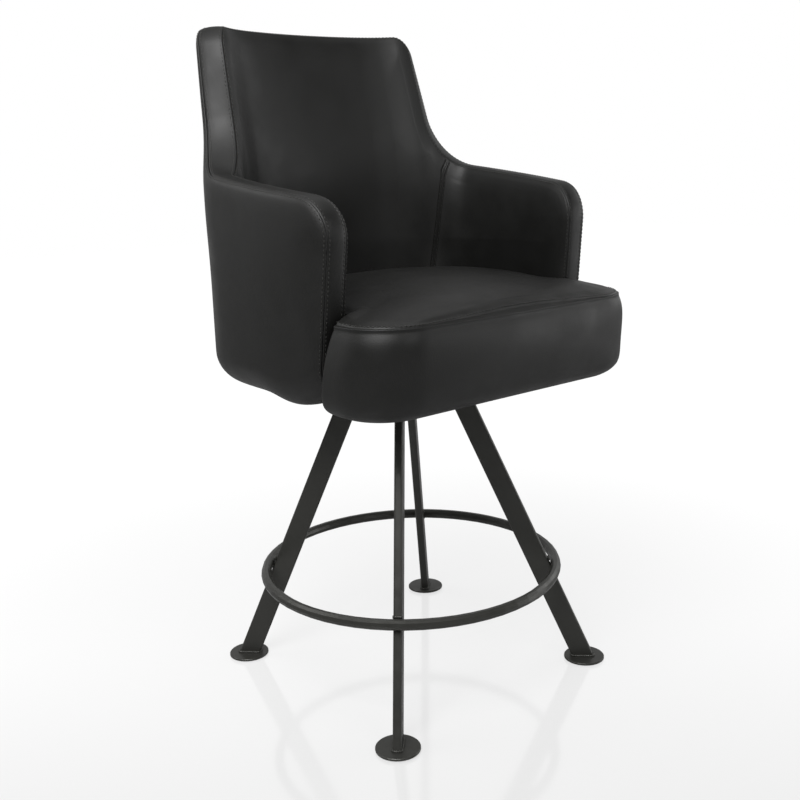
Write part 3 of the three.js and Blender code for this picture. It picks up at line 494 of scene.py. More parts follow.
def stitch_runs(line, stitch, pitch, radius):
    """One short run for each stitch along a line of points, thinner where it dips in."""
    length = run_length(line)
    count = int((length[-1] - stitch) // pitch)
    shares = np.array([0, 0.15, 0.5, 0.85, 1])
    at = np.arange(count)[:, None] * pitch + shares[None, :] * stitch
    centres = along_line(at, length, line)
    radii = np.broadcast_to(np.array([0.45, 0.9, 1, 0.9, 0.45]) * radius, centres.shape[:2])
    return centres, radii


# The tub's surface


def plan_at(reach):
    """The outer plan curve at distances round the wall: x, y and heading."""
    first = np.clip(reach, 0, BACK_ARC_LENGTH) / BACK_ARC_RADIUS
    second = first + np.clip(reach - BACK_ARC_LENGTH, 0, CORNER_ARC_LENGTH) / CORNER_ARC_RADIUS
    third = second + np.maximum(reach - BACK_ARC_LENGTH - CORNER_ARC_LENGTH, 0) / SIDE_ARC_RADIUS
    x = (
        BACK_ARC_RADIUS * np.sin(first)
        + CORNER_ARC_RADIUS * (np.sin(second) - np.sin(first))
        + SIDE_ARC_RADIUS * (np.sin(third) - np.sin(second))
    )
    y = (
        TUB_REAR
        - BACK_ARC_RADIUS * (1 - np.cos(first))
        - CORNER_ARC_RADIUS * (np.cos(first) - np.cos(second))
        - SIDE_ARC_RADIUS * (np.cos(second) - np.cos(third))
    )
    return x, y, third


def lean_at(height):
    """How far back the wall leans at a height."""
    above = np.maximum(height - LEAN_START, 0)
    slope = LEAN_AT_TOP / (TUB_TOP - LEAN_START - LEAN_BLEND / 2)
    run = np.where(above < LEAN_BLEND, above**2 / (2 * LEAN_BLEND), above - LEAN_BLEND / 2)
    return slope * run


def width_share_at(height):
    """The share of its full width that the wall has at a height."""
    share = np.maximum(height - NARROWING_START, 0) / (TUB_TOP - NARROWING_START)
    return 1 - NARROWING_SHARE * share**NARROWING_POWER


def tub_point(reach, height, depth):
    """Points of the tub wall, from reach round it, height, and depth in from its face."""
    reach, height, depth = np.broadcast_arrays(
        np.asarray(reach, float), np.asarray(height, float), np.asarray(depth, float)
    )
    x, y, heading = plan_at(np.abs(reach))
    inward = np.minimum(heading, np.pi / 2)
    side = np.where(reach < 0, -1, 1)
    return np.stack(
        [
            side * (x - depth * np.sin(inward)) * width_share_at(height),
            y - depth * np.cos(inward) + lean_at(height),
            height,
        ],
        -1,
    )


def foot_at(reach):
    """Height of the wall's bottom edge, which hangs a little near the arm's front."""
    back = ARM_FRONT_REACH - np.abs(reach)
    sag = FOOT_SAG * bump_at(back, FOOT_SAG_BACK, FOOT_SAG_SPREAD)
    rise = FOOT_RISE * np.clip(1 - back / FOOT_RISE_LENGTH, 0, 1) ** 2
    return TUB_BOTTOM - sag + rise


def edge_depth(reach, height):
    """How far in the rounded bottom edge lies at a place of the wall."""
    drop = np.clip(foot_at(reach) + BOTTOM_ROUNDING - height, 0, BOTTOM_ROUNDING)
    return BOTTOM_ROUNDING - np.sqrt(BOTTOM_ROUNDING**2 - drop**2)


def wall_point(reach, height, depth):
    """Points of the tub wall whose depth is squeezed into the rounded bottom edge."""
    near = edge_depth(reach, height)
    return tub_point(reach, height, near + (TUB_WALL - near) * np.asarray(depth) / TUB_WALL)


def climb_to_height(climb, reach):
    """Heights from distances climbed along the rounded bottom edge and up the wall."""
    turn = np.clip(climb / BOTTOM_ROUNDING, 0, np.pi / 2)
    over = np.maximum(climb - BOTTOM_ROUNDING * np.pi / 2, 0)
    return foot_at(reach) + BOTTOM_ROUNDING * (1 - np.cos(turn)) + over


def height_to_climb(height, reach):
    """Distances climbed along the rounded bottom edge and up the wall, from heights."""
    above = height - foot_at(reach)
    low = np.clip(above / BOTTOM_ROUNDING, 0, 1)
    return BOTTOM_ROUNDING * np.arccos(1 - low) + np.maximum(above - BOTTOM_ROUNDING, 0)


def follow_foot(at, rim_height):
    """Lets points near the arm's front corner follow the rise of the bottom edge."""
    fade = np.clip(1 - (rim_height - ARM_FRONT_HEIGHT) / FOOT_FADE_HEIGHT, 0, 1) ** 2
    at = at.copy()
    at[..., 1] += (foot_at(at[..., 0]) - ARM_FRONT_HEIGHT) * fade
    return at


def rounded_path(corners, step):
    """Points every step along an outline whose corners are rounded by tangent arcs."""
    points = [np.array(corners[0][:2], float)]

    def run_to(end):
        start = points[-1]
        count = max(1, math.ceil(np.linalg.norm(end - start) / step))
        points.extend(start + (end - start) * k / count for k in range(1, count + 1))

    for i in range(1, len(corners) - 1):
        at = np.array(corners[i][:2], float)
        back = np.array(corners[i - 1][:2], float) - at
        ahead = np.array(corners[i + 1][:2], float) - at
        back /= np.linalg.norm(back)
        ahead /= np.linalg.norm(ahead)
        half = math.acos(back @ ahead) / 2
        radius = corners[i][2]
        middle = (back + ahead) / np.linalg.norm(back + ahead)
        centre = at + middle * radius / math.sin(half)
        run_to(at + back * radius / math.tan(half))
        spoke = points[-1] - centre
        turn = (np.pi - 2 * half) * np.sign(ahead[0] * back[1] - ahead[1] * back[0])
        count = max(4, math.ceil(abs(turn) * radius / (0.5 * step)))
        for k in range(1, count + 1):
            c, s = math.cos(turn * k / count), math.sin(turn * k / count)
            turned = np.array([c * spoke[0] - s * spoke[1], s * spoke[0] + c * spoke[1]])
            points.append(centre + turned)
    run_to(np.array(corners[-1][:2], float))
    return np.array(points)


def rim_path(step):
    """The +X half of the rim from the arm's foot to the middle of the top.

    Gives the points, the directions across the edge towards the wall, and the distances.
    """
    rim = rounded_path(RIM_CORNERS, step)
    slope = (rim[1] - rim[0]) / np.linalg.norm(rim[1] - rim[0])
    turns = np.arange(0, np.pi / 2, step / 2 / BOTTOM_ROUNDING)
    low = [rim[0] + slope * BOTTOM_ROUNDING * (1 - math.cos(turn)) / slope[1] for turn in turns]
    rim = np.array(low + [p for p in rim if p[1] > ARM_FRONT_HEIGHT + BOTTOM_ROUNDING + 1])
    along = np.gradient(rim, axis=0)
    along[-1] = (-1, 0)
    along /= np.linalg.norm(along, axis=1)[:, None]
    # A tiny smoothing of the directions keeps the rows even where arcs meet lines.
    for _ in range(RIM_SMOOTHING):
        along[1:-1] = (along[:-2] + 2 * along[1:-1] + along[2:]) / 4
    along /= np.linalg.norm(along, axis=1)[:, None]
    inward = np.stack([-along[:, 1], along[:, 0]], 1)
    return rim, inward, run_length(rim)


def mirrored(columns):
    """Columns of the -X side before those of the +X side, sharing the middle one."""
    left = columns.copy()
    left[..., 0] *= -1
    return np.concatenate([left, columns[-2::-1]])


def curve_rows(keys, rows):
    """Evenly spread points along a smooth curve through a section's key points."""
    keys = np.array(keys, float)
    fine = []
    for i in range(len(keys) - 1):
        p0, p1, p2, p3 = keys[max(i - 1, 0)], keys[i], keys[i + 1], keys[min(i + 2, len(keys) - 1)]
        for t in np.arange(0, 1, 0.05):
            fine.append(
                0.5 * (2 * p1 + (p2 - p0) * t + (2 * p0 - 5 * p1 + 4 * p2 - p3) * t**2
                       + (3 * p1 - p0 - 3 * p2 + p3) * t**3)
            )
    fine = np.array(fine + [keys[-1]])
    length = run_length(fine)
    return along_line(np.linspace(0, length[-1], rows), length, fine)


def wing_padding(at):
    """How much thicker the wall is beside the wings, which are padded most at their feet."""
    reach, height = at[..., 0], at[..., 1]
    near = share_between(reach, *WING_FRONT) * share_between(reach, *WING_BACK)
    padding = WING_PADDING - WING_TAPER * share_between(height, *WING_TAPER_HEIGHTS)
    return eased(near) * eased(share_between(height, *WING_FOOT)) * padding


def thickened(depth, padding):
    """Section depths where the wall is thicker: the inner seam moves out to the corner."""
    share = np.clip(depth / INNER_SEAM_DEPTH, 0, 1)
    over = share_between(depth, INNER_SEAM_DEPTH, TUB_WALL)
    fullness = CORNER_FULLNESS * np.clip(padding / CORNER_FULL_FROM, 0, 1)
    return depth + padding * share + fullness * share * (1 - over)


def rim_band(rim, inward, section, swell=None):
    """Columns across the rim: each section point is an inset from the edge and a depth.

    A swell, given for each point, lifts the surface out of the wall's plan.
    """
    at = rim[:, None, :] + inward[:, None, :] * section[None, :, :1]
    at = follow_foot(at, rim[:, None, 1])
    depth = thickened(section[None, :, 1], wing_padding(at))
    if swell is not None:
        depth = depth + swell(at, section[None, :, 0], depth)
    return wall_point(at[..., 0], at[..., 1], depth)


def soft_rise(away, length):
    """0 near the rim and 1 far from it, for swells that must not start with a crease."""
    return 1 - np.exp(-((np.maximum(away - FLAT_MARGIN, 0) / length) ** 1.5))


def panel_interior(border, feet, rows):
    """Columns of an unrolled panel from its foot line up to its border line."""
    share = np.linspace(0, 1, rows)[None, :, None]
    low = np.stack([feet[:, 0], height_to_climb(feet[:, 1], feet[:, 0])], 1)[:, None, :]
    high = np.stack([border[:, 0], height_to_climb(border[:, 1], border[:, 0])], 1)[:, None, :]
    climb = low + (high - low) * share
    return np.stack([climb[..., 0], climb_to_height(climb[..., 1], climb[..., 0])], -1)


def rim_distance(at, rim):
    """How far unrolled points lie from the rim."""
    flat = at.reshape(-1, 2)
    best = np.full(len(flat), 1e9)
    for start in range(0, len(flat), 4000):
        part = flat[start : start + 4000]
        away = np.linalg.norm(part[:, None, :] - rim[None, ::2, :], axis=2)
        best[start : start + 4000] = away.min(1)
    return best.reshape(at.shape[:-1])


# Finishes


def feed(node, **inputs):
    """Sets or links a node's inputs, by name or, after an underscore, by number."""
    for key, value in inputs.items():
        socket = node.inputs[int(key[1:]) if key[1:].isdigit() else key.replace("_", " ")]
        if isinstance(value, bpy.types.NodeSocket):
            node.id_data.links.new(value, socket)
        else:
            socket.default_value = value


def add_node(owner, kind, settings=None, **inputs):
    """Adds a shader node to a material or world, with its settings and inputs."""
    node = owner.node_tree.nodes.new(kind)
    for key, value in (settings or {}).items():
        setattr(node, key, value)
    feed(node, **inputs)
    return node


def new_finish(name, colour, roughness, **sockets):
    """A material with one Principled shader, whose plain values are set on its sockets."""
    found = bpy.data.materials.get(name)
    if found:
        return found, found.node_tree.nodes["Principled BSDF"]
    material = bpy.data.materials.new(name)
    material.use_nodes = True
    shader = material.node_tree.nodes["Principled BSDF"]
    feed(shader, Base_Color=(*colour, 1), Roughness=roughness, **sockets)
    return material, shader


def shaded(colour, share):
    """A colour made darker or lighter by a share, with its alpha."""
    return (*[min(1, c * share) for c in colour], 1)


def leather_finish():
    """Finished upholstery leather, pigmented and lightly embossed.

    Its pebbled grain breaks wide soft highlights, and the coat of pigment keeps them satin.
    """
    sizes = bpy.context.scene.stool_leather
    material, shader = new_finish(
        "Pigmented upholstery leather", sizes.leather, 0.5, IOR=1.48,
        Specular_IOR_Level=0.4,
    )
    if shader.inputs["Normal"].is_linked:
        return material
    place = add_node(material, "ShaderNodeTexCoord").outputs["Object"]
    # Grain cells of about a millimetre and a half, the widest that still reads as fine.
    cells = add_node(
        material, "ShaderNodeTexVoronoi", {"feature": "SMOOTH_F1"}, Vector=place,
        Scale=1 / sizes.grain, Smoothness=0.6,
    )
    # Creases and soft patches left by the tannery, 40 mm apart.
    patches = add_node(material, "ShaderNodeTexNoise", Vector=place, Scale=25.0, Detail=3.0)
    fine = add_node(material, "ShaderNodeTexNoise", Vector=place, Scale=900.0, Detail=2.0)
    height = add_node(
        material, "ShaderNodeMath", {"operation": "ADD"}, _0=cells.outputs["Distance"],
        _1=fine.outputs["Fac"],
    )
    bump = add_node(
        material, "ShaderNodeBump", Height=height.outputs[0], Strength=0.16, Distance=0.0004,
    )
    rough = add_node(
        material, "ShaderNodeMapRange", Value=patches.outputs["Fac"], From_Min=0.3,
        From_Max=0.7, To_Min=0.43, To_Max=0.53,
    )
    shade = add_node(
        material, "ShaderNodeMix", {"data_type": "RGBA"}, Factor=patches.outputs["Fac"],
        _6=shaded(sizes.leather, 0.88), _7=shaded(sizes.leather, 1.14),
    )
    feed(
        shader, Normal=bump.outputs["Normal"], Roughness=rough.outputs["Result"],
        Base_Color=shade.outputs[2],
    )
    return material


def thread_finish():
    """Bonded nylon thread: twisted, with a slight sheen."""
    sizes = bpy.context.scene.stool_leather
    material, shader = new_finish("Bonded nylon thread", sizes.thread, 0.5, IOR=1.53)
    if shader.inputs["Normal"].is_linked:
        return material
    place = add_node(material, "ShaderNodeTexCoord").outputs["Object"]
    # The twist of the ply, about a millimetre a turn.
    twist = add_node(material, "ShaderNodeTexWave", Vector=place, Scale=300.0, Distortion=2.0)
    bump = add_node(
        material, "ShaderNodeBump", Height=twist.outputs["Fac"], Strength=0.3, Distance=0.0002,
    )
    feed(shader, Normal=bump.outputs["Normal"])
    return material


def powder_coat_finish():
    """Powder coat on steel, sprayed and baked: a satin skin with a fine orange peel."""
    sizes = bpy.context.scene.stool_hardware
    material, shader = new_finish("Satin powder coat", sizes.coat, 0.34, IOR=1.5, Metallic=0.35)
    if shader.inputs["Normal"].is_linked:
        return material
    place = add_node(material, "ShaderNodeTexCoord").outputs["Object"]
    # Orange peel, about 1.5 mm from crest to crest.
    peel = add_node(material, "ShaderNodeTexNoise", Vector=place, Scale=650.0, Detail=2.0)
    wide = add_node(material, "ShaderNodeTexNoise", Vector=place, Scale=60.0, Detail=4.0)
    bump = add_node(
        material, "ShaderNodeBump", Height=peel.outputs["Fac"], Strength=0.25, Distance=0.0003,
    )
    rough = add_node(
        material, "ShaderNodeMapRange", Value=wide.outputs["Fac"], From_Min=0.3, From_Max=0.7,
        To_Min=0.28, To_Max=0.42,
    )
    feed(shader, Normal=bump.outputs["Normal"], Roughness=rough.outputs["Result"])
    return material


def zinc_finish():
    """Bright zinc plate on pressed steel: metallic, with soft rolling marks."""
    sizes = bpy.context.scene.stool_hardware
    material, shader = new_finish("Bright zinc plate", sizes.zinc, 0.32, Metallic=1.0)
    if shader.inputs["Roughness"].is_linked:
        return material
    place = add_node(material, "ShaderNodeTexCoord").outputs["Object"]
    stretch = add_node(material, "ShaderNodeMapping", Vector=place, Scale=(1, 14, 1))
    # Rolling marks about 1 mm apart across the sheet.
    marks = add_node(
        material, "ShaderNodeTexNoise", Vector=stretch.outputs["Vector"], Scale=90.0, Detail=5.0,
    )
    rough = add_node(
        material, "ShaderNodeMapRange", Value=marks.outputs["Fac"], From_Min=0.3, From_Max=0.7,
        To_Min=0.24, To_Max=0.44,
    )
    feed(shader, Roughness=rough.outputs["Result"])
    return material


def ball_finish():
    """Hardened chrome steel, ground and polished: a near mirror with a film of grease."""
    material, shader = new_finish("Polished bearing steel", linear("#c8c8c6"), 0.08, Metallic=1.0)
    if shader.inputs["Roughness"].is_linked:
        return material
    place = add_node(material, "ShaderNodeTexCoord").outputs["Object"]
    film = add_node(material, "ShaderNodeTexNoise", Vector=place, Scale=400.0, Detail=2.0)
    rough = add_node(
        material, "ShaderNodeMapRange", Value=film.outputs["Fac"], To_Min=0.05, To_Max=0.14,
    )
    feed(shader, Roughness=rough.outputs["Result"])
    return material


def nylon_finish():
    """Moulded nylon: matt, with the mould's spark-eroded texture."""
    material, shader = new_finish("Moulded nylon", linear("#1b1b1a"), 0.6, IOR=1.53)
    if shader.inputs["Normal"].is_linked:
        return material
    place = add_node(material, "ShaderNodeTexCoord").outputs["Object"]
    # Spark texture, about 0.8 mm.
    spark = add_node(material, "ShaderNodeTexNoise", Vector=place, Scale=1200.0, Detail=1.0)
    bump = add_node(
        material, "ShaderNodeBump", Height=spark.outputs["Fac"], Strength=0.3, Distance=0.0002,
    )
    feed(shader, Normal=bump.outputs["Normal"])
    return material


def plywood_finish():
    """Birch plywood, rotary cut and sanded: pale faces with long grain, striped edges."""
    sizes = bpy.context.scene.stool_hardware
    material, shader = new_finish("Birch plywood", sizes.wood, 0.6, IOR=1.5)
    if shader.inputs["Base Color"].is_linked:
        return material
    place = add_node(material, "ShaderNodeTexCoord").outputs["Object"]
    stretch = add_node(material, "ShaderNodeMapping", Vector=place, Scale=(1, 9, 1))
    # Grain lines 3 to 6 mm apart along the sheet.
    grain = add_node(
        material, "ShaderNodeTexNoise", Vector=stretch.outputs["Vector"], Scale=28.0, Detail=6.0,
        Distortion=0.6,
    )
    colours = add_node(
        material, "ShaderNodeMix", {"data_type": "RGBA"}, Factor=grain.outputs["Fac"],
        _6=shaded(sizes.wood, 0.72), _7=shaded(sizes.wood, 1.18),
    )
    bump = add_node(
        material, "ShaderNodeBump", Height=grain.outputs["Fac"], Strength=0.15, Distance=0.0003,
    )
    feed(shader, Base_Color=colours.outputs[2], Normal=bump.outputs["Normal"])
    return material


def dust_cloth_finish():
    """Spun-bonded polypropylene: a thin black felt with pressed dimples."""
    material, shader = new_finish(
        "Spun-bonded cloth", linear("#171716"), 0.9, IOR=1.49, Sheen_Weight=0.2,
    )
    if shader.inputs["Normal"].is_linked:
        return material
    place = add_node(material, "ShaderNodeTexCoord").outputs["Object"]
    # Pressed dimples 2 mm apart.
    dimples = add_node(material, "ShaderNodeTexVoronoi", Vector=place, Scale=500.0, Randomness=0.15)
    bump = add_node(
        material, "ShaderNodeBump", Height=dimples.outputs["Distance"], Strength=0.5,
        Distance=0.0004,
    )
    feed(shader, Normal=bump.outputs["Normal"])
    return material


def give_finish(piece, material):
    """Puts one material on every slot of a piece."""
    if not piece.data.materials:
        piece.data.materials.append(material)
    for slot in piece.material_slots:
        slot.material = material


def leather_piece(name, points, faces, *nodes, fill=None):
    """A leather piece that rides with the seat and stands for CAD nodes."""
    piece = mesh_piece(name, points, faces)
    give_finish(piece, leather_finish())
    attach(piece, SEAT_BODY)
    if nodes:
        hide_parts(*nodes)
    return piece


def sew(name, lines):
    """One piece that holds the stitches of several lines."""
    sizes = bpy.context.scene.stool_leather
    measures = sizes.stitch / MM, sizes.pitch / MM, sizes.thread_radius / MM
    centres, radii = zip(*[stitch_runs(line, *measures) for line in lines])
    piece = mesh_piece(name, *bead_run(np.concatenate(centres), np.concatenate(radii)))
    give_finish(piece, thread_finish())
    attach(piece, SEAT_BODY)


# Operators


class STOOL_OT_outer_panel(bpy.types.Operator):
    """Lay the outer leather panel round the tub, turned in under its bottom edge"""

    bl_idname = "stool.outer_panel"
    bl_label = "Outer leather panel"

    def execute(self, context):
        rim, inward, length = rim_path(PANEL_STEP)
        border = follow_foot(rim + inward * BORDER, rim[:, 1])
        reach = border[0, 0] * (1 - length / length[-1])
        feet = np.stack([reach, foot_at(reach)], 1)
        inside = panel_interior(border, feet, OUTER_ROWS)
        away = rim_distance(inside, rim)
        depth = edge_depth(inside[..., 0], inside[..., 1])
        depth = depth + self.swell(inside, away, depth)
        points = tub_point(inside[..., 0], inside[..., 1], depth)
        band = rim_band(rim, inward, curve_rows(OUTER_SECTION, BAND_ROWS), self.swell)
        columns = mirrored(np.concatenate([points, band[:, 1:]], 1))
        rows = columns.shape[1]
        # The leather turns in under the wall and is stapled to its core.
        lip = columns[:, 0].copy()
        lip[:, 2] += LEATHER_TURN_IN
        columns = np.concatenate([lip[:, None], columns], 1)
        leather_piece(
            "outer_panel", columns.reshape(-1, 3), grid_faces(len(columns), rows + 1),
            "outer_cover", fill=0.7,
        )
        return {"FINISHED"}

    def swell(self, at, away, depth):
        """Soft padding under the panel, none at its seams and at its foot."""
        points = tub_point(at[..., 0], at[..., 1], depth)
        uneven = waves(points, OUTER_UNEVEN_WAVE, OUTER_SEED) * soft_rise(away, UNEVEN_LENGTH)
        rise = OUTER_SWELL * soft_rise(away, OUTER_SWELL_LENGTH) + OUTER_UNEVEN * uneven
        return -rise * np.clip((at[..., 1] - foot_at(at[..., 0])) / BOTTOM_ROUNDING, 0, 1)


class STOOL_OT_rim_strip(bpy.types.Operator):
    """Sew the padded strip along the whole rim, from one arm's foot round to the other's"""

    bl_idname = "stool.rim_strip"
    bl_label = "Rim strip"

    def execute(self, context):
        rim, inward, _ = rim_path(PANEL_STEP)
        band = rim_band(rim, inward, curve_rows(STRIP_SECTION, STRIP_ROWS))
        columns = mirrored(band)
        leather_piece(
            "rim_strip", columns.reshape(-1, 3), grid_faces(*columns.shape[:2]), "edge_strip",
            fill=0.6,
        )
        return {"FINISHED"}


def pad_columns():
    """The inner wall's columns on the +X side, and the number of the one on the pads' seam."""
    rim, inward, length = rim_path(PANEL_STEP)
    keep = rim[:, 1] >= PAD_BOTTOM
    rim, inward, length = rim[keep], inward[keep], length[keep]
    seam = int(np.argmax((rim[:, 1] > 700) & (rim[:, 0] < PAD_SEAM_TOP_REACH)))
    # Closer columns beside the seam, where the leather is drawn in.
    fine = length[seam] + np.linspace(-SEAM_FINE_HALF, SEAM_FINE_HALF, SEAM_FINE_COLUMNS)
    rest = length[(length < fine[0] - 1) | (length > fine[-1] + 1)]
    dense = np.sort(np.concatenate([fine, rest]))
    rim = along_line(dense, length, rim)
    inward = along_line(dense, length, inward)
    seam = int(np.argmin(np.abs(dense - fine[SEAM_FINE_COLUMNS // 2])))
    length = dense
    border = rim + inward * BORDER
    foot_share = (PAD_BOTTOM - TUB_BOTTOM) / (border[seam, 1] - TUB_BOTTOM)
    seam_foot = PAD_SEAM_FOOT_REACH + (border[seam, 0] - PAD_SEAM_FOOT_REACH) * foot_share
    reach = np.where(
        length < length[seam],
        border[0, 0] + (seam_foot - border[0, 0]) * (length - length[0]) / (length[seam] - length[0]),
        seam_foot * (length[-1] - length) / (length[-1] - length[seam]),
    )
    feet = np.stack([reach, np.full(len(rim), float(PAD_BOTTOM))], 1)
    inside = panel_interior(border, feet, PAD_ROWS)[:, ::-1]
    return rim, inward, inside, seam, length


def bend_filling(reach):
    """How far the padding fills the wall's corner, so that no edge shows where arcs meet."""
    filled = 0
    for place, side in ((BACK_ARC_LENGTH, 1), (BACK_ARC_LENGTH + CORNER_ARC_LENGTH, -1)):
        share = np.clip((reach - place) / BEND_EASE, -1, 1)
        bent = np.where(share < 0, (1 + share) ** 3 / 12, 1 / 6 - (1 - share) ** 3 / 12)
        filled = filled + side * BEND_FILL * bent
    return filled


def pad_swell(at, away, seam_away, sizes, puff):
    """How far the inner wall swells between its seams and is drawn in along them."""
    points = tub_point(at[..., 0], at[..., 1], TUB_WALL)
    high = share_between(at[..., 1], *PAD_SWELL_HEIGHTS)
    beside = 1 - np.exp(-((seam_away / PAD_SEAM_SWELL_LENGTH) ** 2))
    rise = puff / MM * soft_rise(away, PAD_SWELL_LENGTH) * beside
    rise += bend_filling(at[..., 0]) * soft_rise(away, BEND_FILL_LENGTH)
    uneven = waves(points, PAD_UNEVEN_WAVE, PAD_SEED) * soft_rise(away, UNEVEN_LENGTH)
    rise += PAD_UNEVEN * uneven
    sewn = 0.3 * bump_at(seam_away, 0, 0.8) + 0.75 * bump_at(seam_away, 4, 1.4)
    return rise * high - sizes.groove / MM * sewn * np.clip(away / 4 - 0.6, 0, 1)


def pad_depth(at, away):
    """Depth of the inner wall's plain surface, thicker beside the wings."""
    past = np.maximum(away - BORDER, 0)
    return TUB_WALL + wing_padding(at) - EDGE_ROUND * np.exp(-past / EDGE_ROUND_LENGTH)


def pad_surface(columns, sizes):
    """Points of the inner wall from its seam on the rim down to its foot."""
    rim, inward, inside, seam, length = columns
    line = (inside[seam, -1], inside[seam, 0])
    away = rim_distance(inside, rim)
    depth = pad_depth(inside, away)
    puff = np.where(np.arange(len(rim)) < seam, sizes.arm_puff, sizes.puff)[:, None]
    depth = depth + pad_swell(inside, away, seam_distance(inside, line), sizes, puff)
    points = tub_point(inside[..., 0], inside[..., 1], depth)
    beside = np.abs(length - length[seam])[:, None]
    band = rim_band(
        rim, inward, curve_rows(INNER_SECTION, BAND_ROWS),
        lambda at, inset, _: pad_swell(at, inset, beside, sizes, puff),
    )
    return np.concatenate([band, points[:, 1:]], 1)


def seam_distance(at, line):
    """How far unrolled points lie from a straight seam line."""
    start, end = line
    along = (end - start) / np.linalg.norm(end - start)
    offset = at - start
    return np.abs(offset[..., 0] * along[1] - offset[..., 1] * along[0])


class STOOL_OT_inner_pads(bpy.types.Operator):
    """Sew the back pad and both arm pads, which meet at two upright seams"""

    bl_idname = "stool.inner_pads"
    bl_label = "Inner pads"

    def execute(self, context):
        sizes = context.scene.stool_leather
        layout = pad_columns()
        seam = layout[3]
        columns = pad_surface(layout, sizes)
        arm = columns[: seam + 1]
        back = mirrored(columns[seam:])
        left = arm.copy()
        left[..., 0] *= -1
        for name, panel, node in (
            ("back_panel", back, "back_pad"), ("arm_panel_right", arm[::-1], "arm_pad_right"),
            ("arm_panel_left", left, "arm_pad_left"),
        ):
            leather_piece(name, panel.reshape(-1, 3), grid_faces(*panel.shape[:2]), node, fill=0.7)
        return {"FINISHED"}


def reach_at_y(y):
    """How far round the wall its outer face reaches a given Y."""
    near, far = 0.0, 1100.0
    for _ in range(50):
        middle = (near + far) / 2
        if plan_at(np.array(middle))[1] > y:
            near = middle
        else:
            far = middle
    return near


def cushion_plan(height, side, front, corner, ear, tongue):
    """The +X half of one ring of the cushion, from the back's middle to the front's."""
    lean = (height - TUB_BOTTOM) / (ARM_NOSE_HEIGHT - TUB_BOTTOM)
    arm_front = plan_at(np.array(ARM_FRONT_REACH + lean * (ARM_NOSE_REACH - ARM_FRONT_REACH)))[1]
    half_width = CUSHION_HALF_WIDTH - side * CUSHION_DRAW
    front_y = front * CUSHION_DRAW - CUSHION_FRONT
    ear_back = arm_front - ear * CUSHION_EAR_GAP
    reach = np.linspace(0, reach_at_y(ear_back), TONGUE_POINTS)
    depth = TUB_WALL + CUSHION_WALL_GAP + tongue * CUSHION_DRAW
    tongue_line = tub_point(reach, TUB_BOTTOM, depth)[:, :2]
    parts = [tongue_line[:-1]]
    start = tongue_line[-1]
    ear_centre = np.array([half_width - CUSHION_EAR_RADIUS, ear_back - CUSHION_EAR_RADIUS])
    radius = corner * CUSHION_CORNER_RADIUS
    nose_centre = np.array([half_width - radius, front_y + radius])
    turn = np.linspace(0, np.pi / 2, 6)[:, None]
    ear_arc = ear_centre + CUSHION_EAR_RADIUS * np.concatenate([np.sin(turn), np.cos(turn)], 1)
    turn = np.linspace(0, np.pi / 2, 18)[:, None]
    nose_arc = nose_centre + radius * np.concatenate([np.cos(turn), -np.sin(turn)], 1)
    parts.append(start + (ear_arc[0] - start) * np.linspace(0, 1, 5)[:-1, None])
    parts.append(ear_arc)
    parts.append(ear_arc[-1] + (nose_arc[0] - ear_arc[-1]) * np.linspace(0, 1, 9)[1:-1, None])
    parts.append(nose_arc)
    front_middle = np.array([0, front_y])
    parts.append(nose_arc[-1] + (front_middle - nose_arc[-1]) * np.linspace(0, 1, 22)[1:, None])
    return np.concatenate(parts)


def crown_at(x, y):
    """How far the cushion's top rises over its seam."""
    return 32 - 10 * (x / 220) ** 2 - 14 * ((y + 20) / 220) ** 2


def cushion_rings():
    """Rings of the cushion's +X half from its bottom to its middle, and each row's inset."""
    keys = np.array(CUSHION_SIDE_SHARES, float)
    rings, insets = [], []
    shares_up = np.concatenate([np.linspace(0, 0.2, 9), np.linspace(0.25, 0.94, 14), [0.97, 0.99, 1]])
    for up in shares_up:
        shares = [np.interp(up, keys[:, 0], keys[:, k]) for k in range(1, 6)]
        height = CUSHION_BOTTOM + up * (CUSHION_SEAM_HEIGHT - CUSHION_BOTTOM)
        plan = cushion_plan(height, *shares)
        rings.append(np.column_stack([plan, np.full(len(plan), height)]))
        insets.append(height - CUSHION_SEAM_HEIGHT)
    # The side has no edges where its key heights meet.
    side = np.array(rings)
    for _ in range(4):
        side[1:-4] = (side[:-5] + 2 * side[1:-4] + side[2:-3]) / 4
    rings = list(side)
    insets[1:-4] = (side[1:-4, 0, 2] - CUSHION_SEAM_HEIGHT).tolist()
    seam = rings[-1][:, :2]
    inward = np.array([0, CUSHION_CENTRE_Y]) - seam
    reach = np.linalg.norm(inward, axis=1)[:, None]
    for inset in SEAM_INSETS:
        rings.append(cushion_top(seam, inward, inset / reach))
        insets.append(inset)
    for share in TOP_SHARES:
        rings.append(cushion_top(seam, inward, share))
        insets.append(share * TOP_INSET)
    return np.stack(rings, 1), np.array(insets)


def cushion_top(seam, inward, share):
    """A ring of the cushion's top at a share of the way from its seam to its middle."""
    at = seam + inward * share
    rise = 1 - np.exp(-np.ravel(share) / 0.05)
    return np.column_stack([at, CUSHION_SEAM_HEIGHT + rise * crown_at(at[:, 0], at[:, 1])])


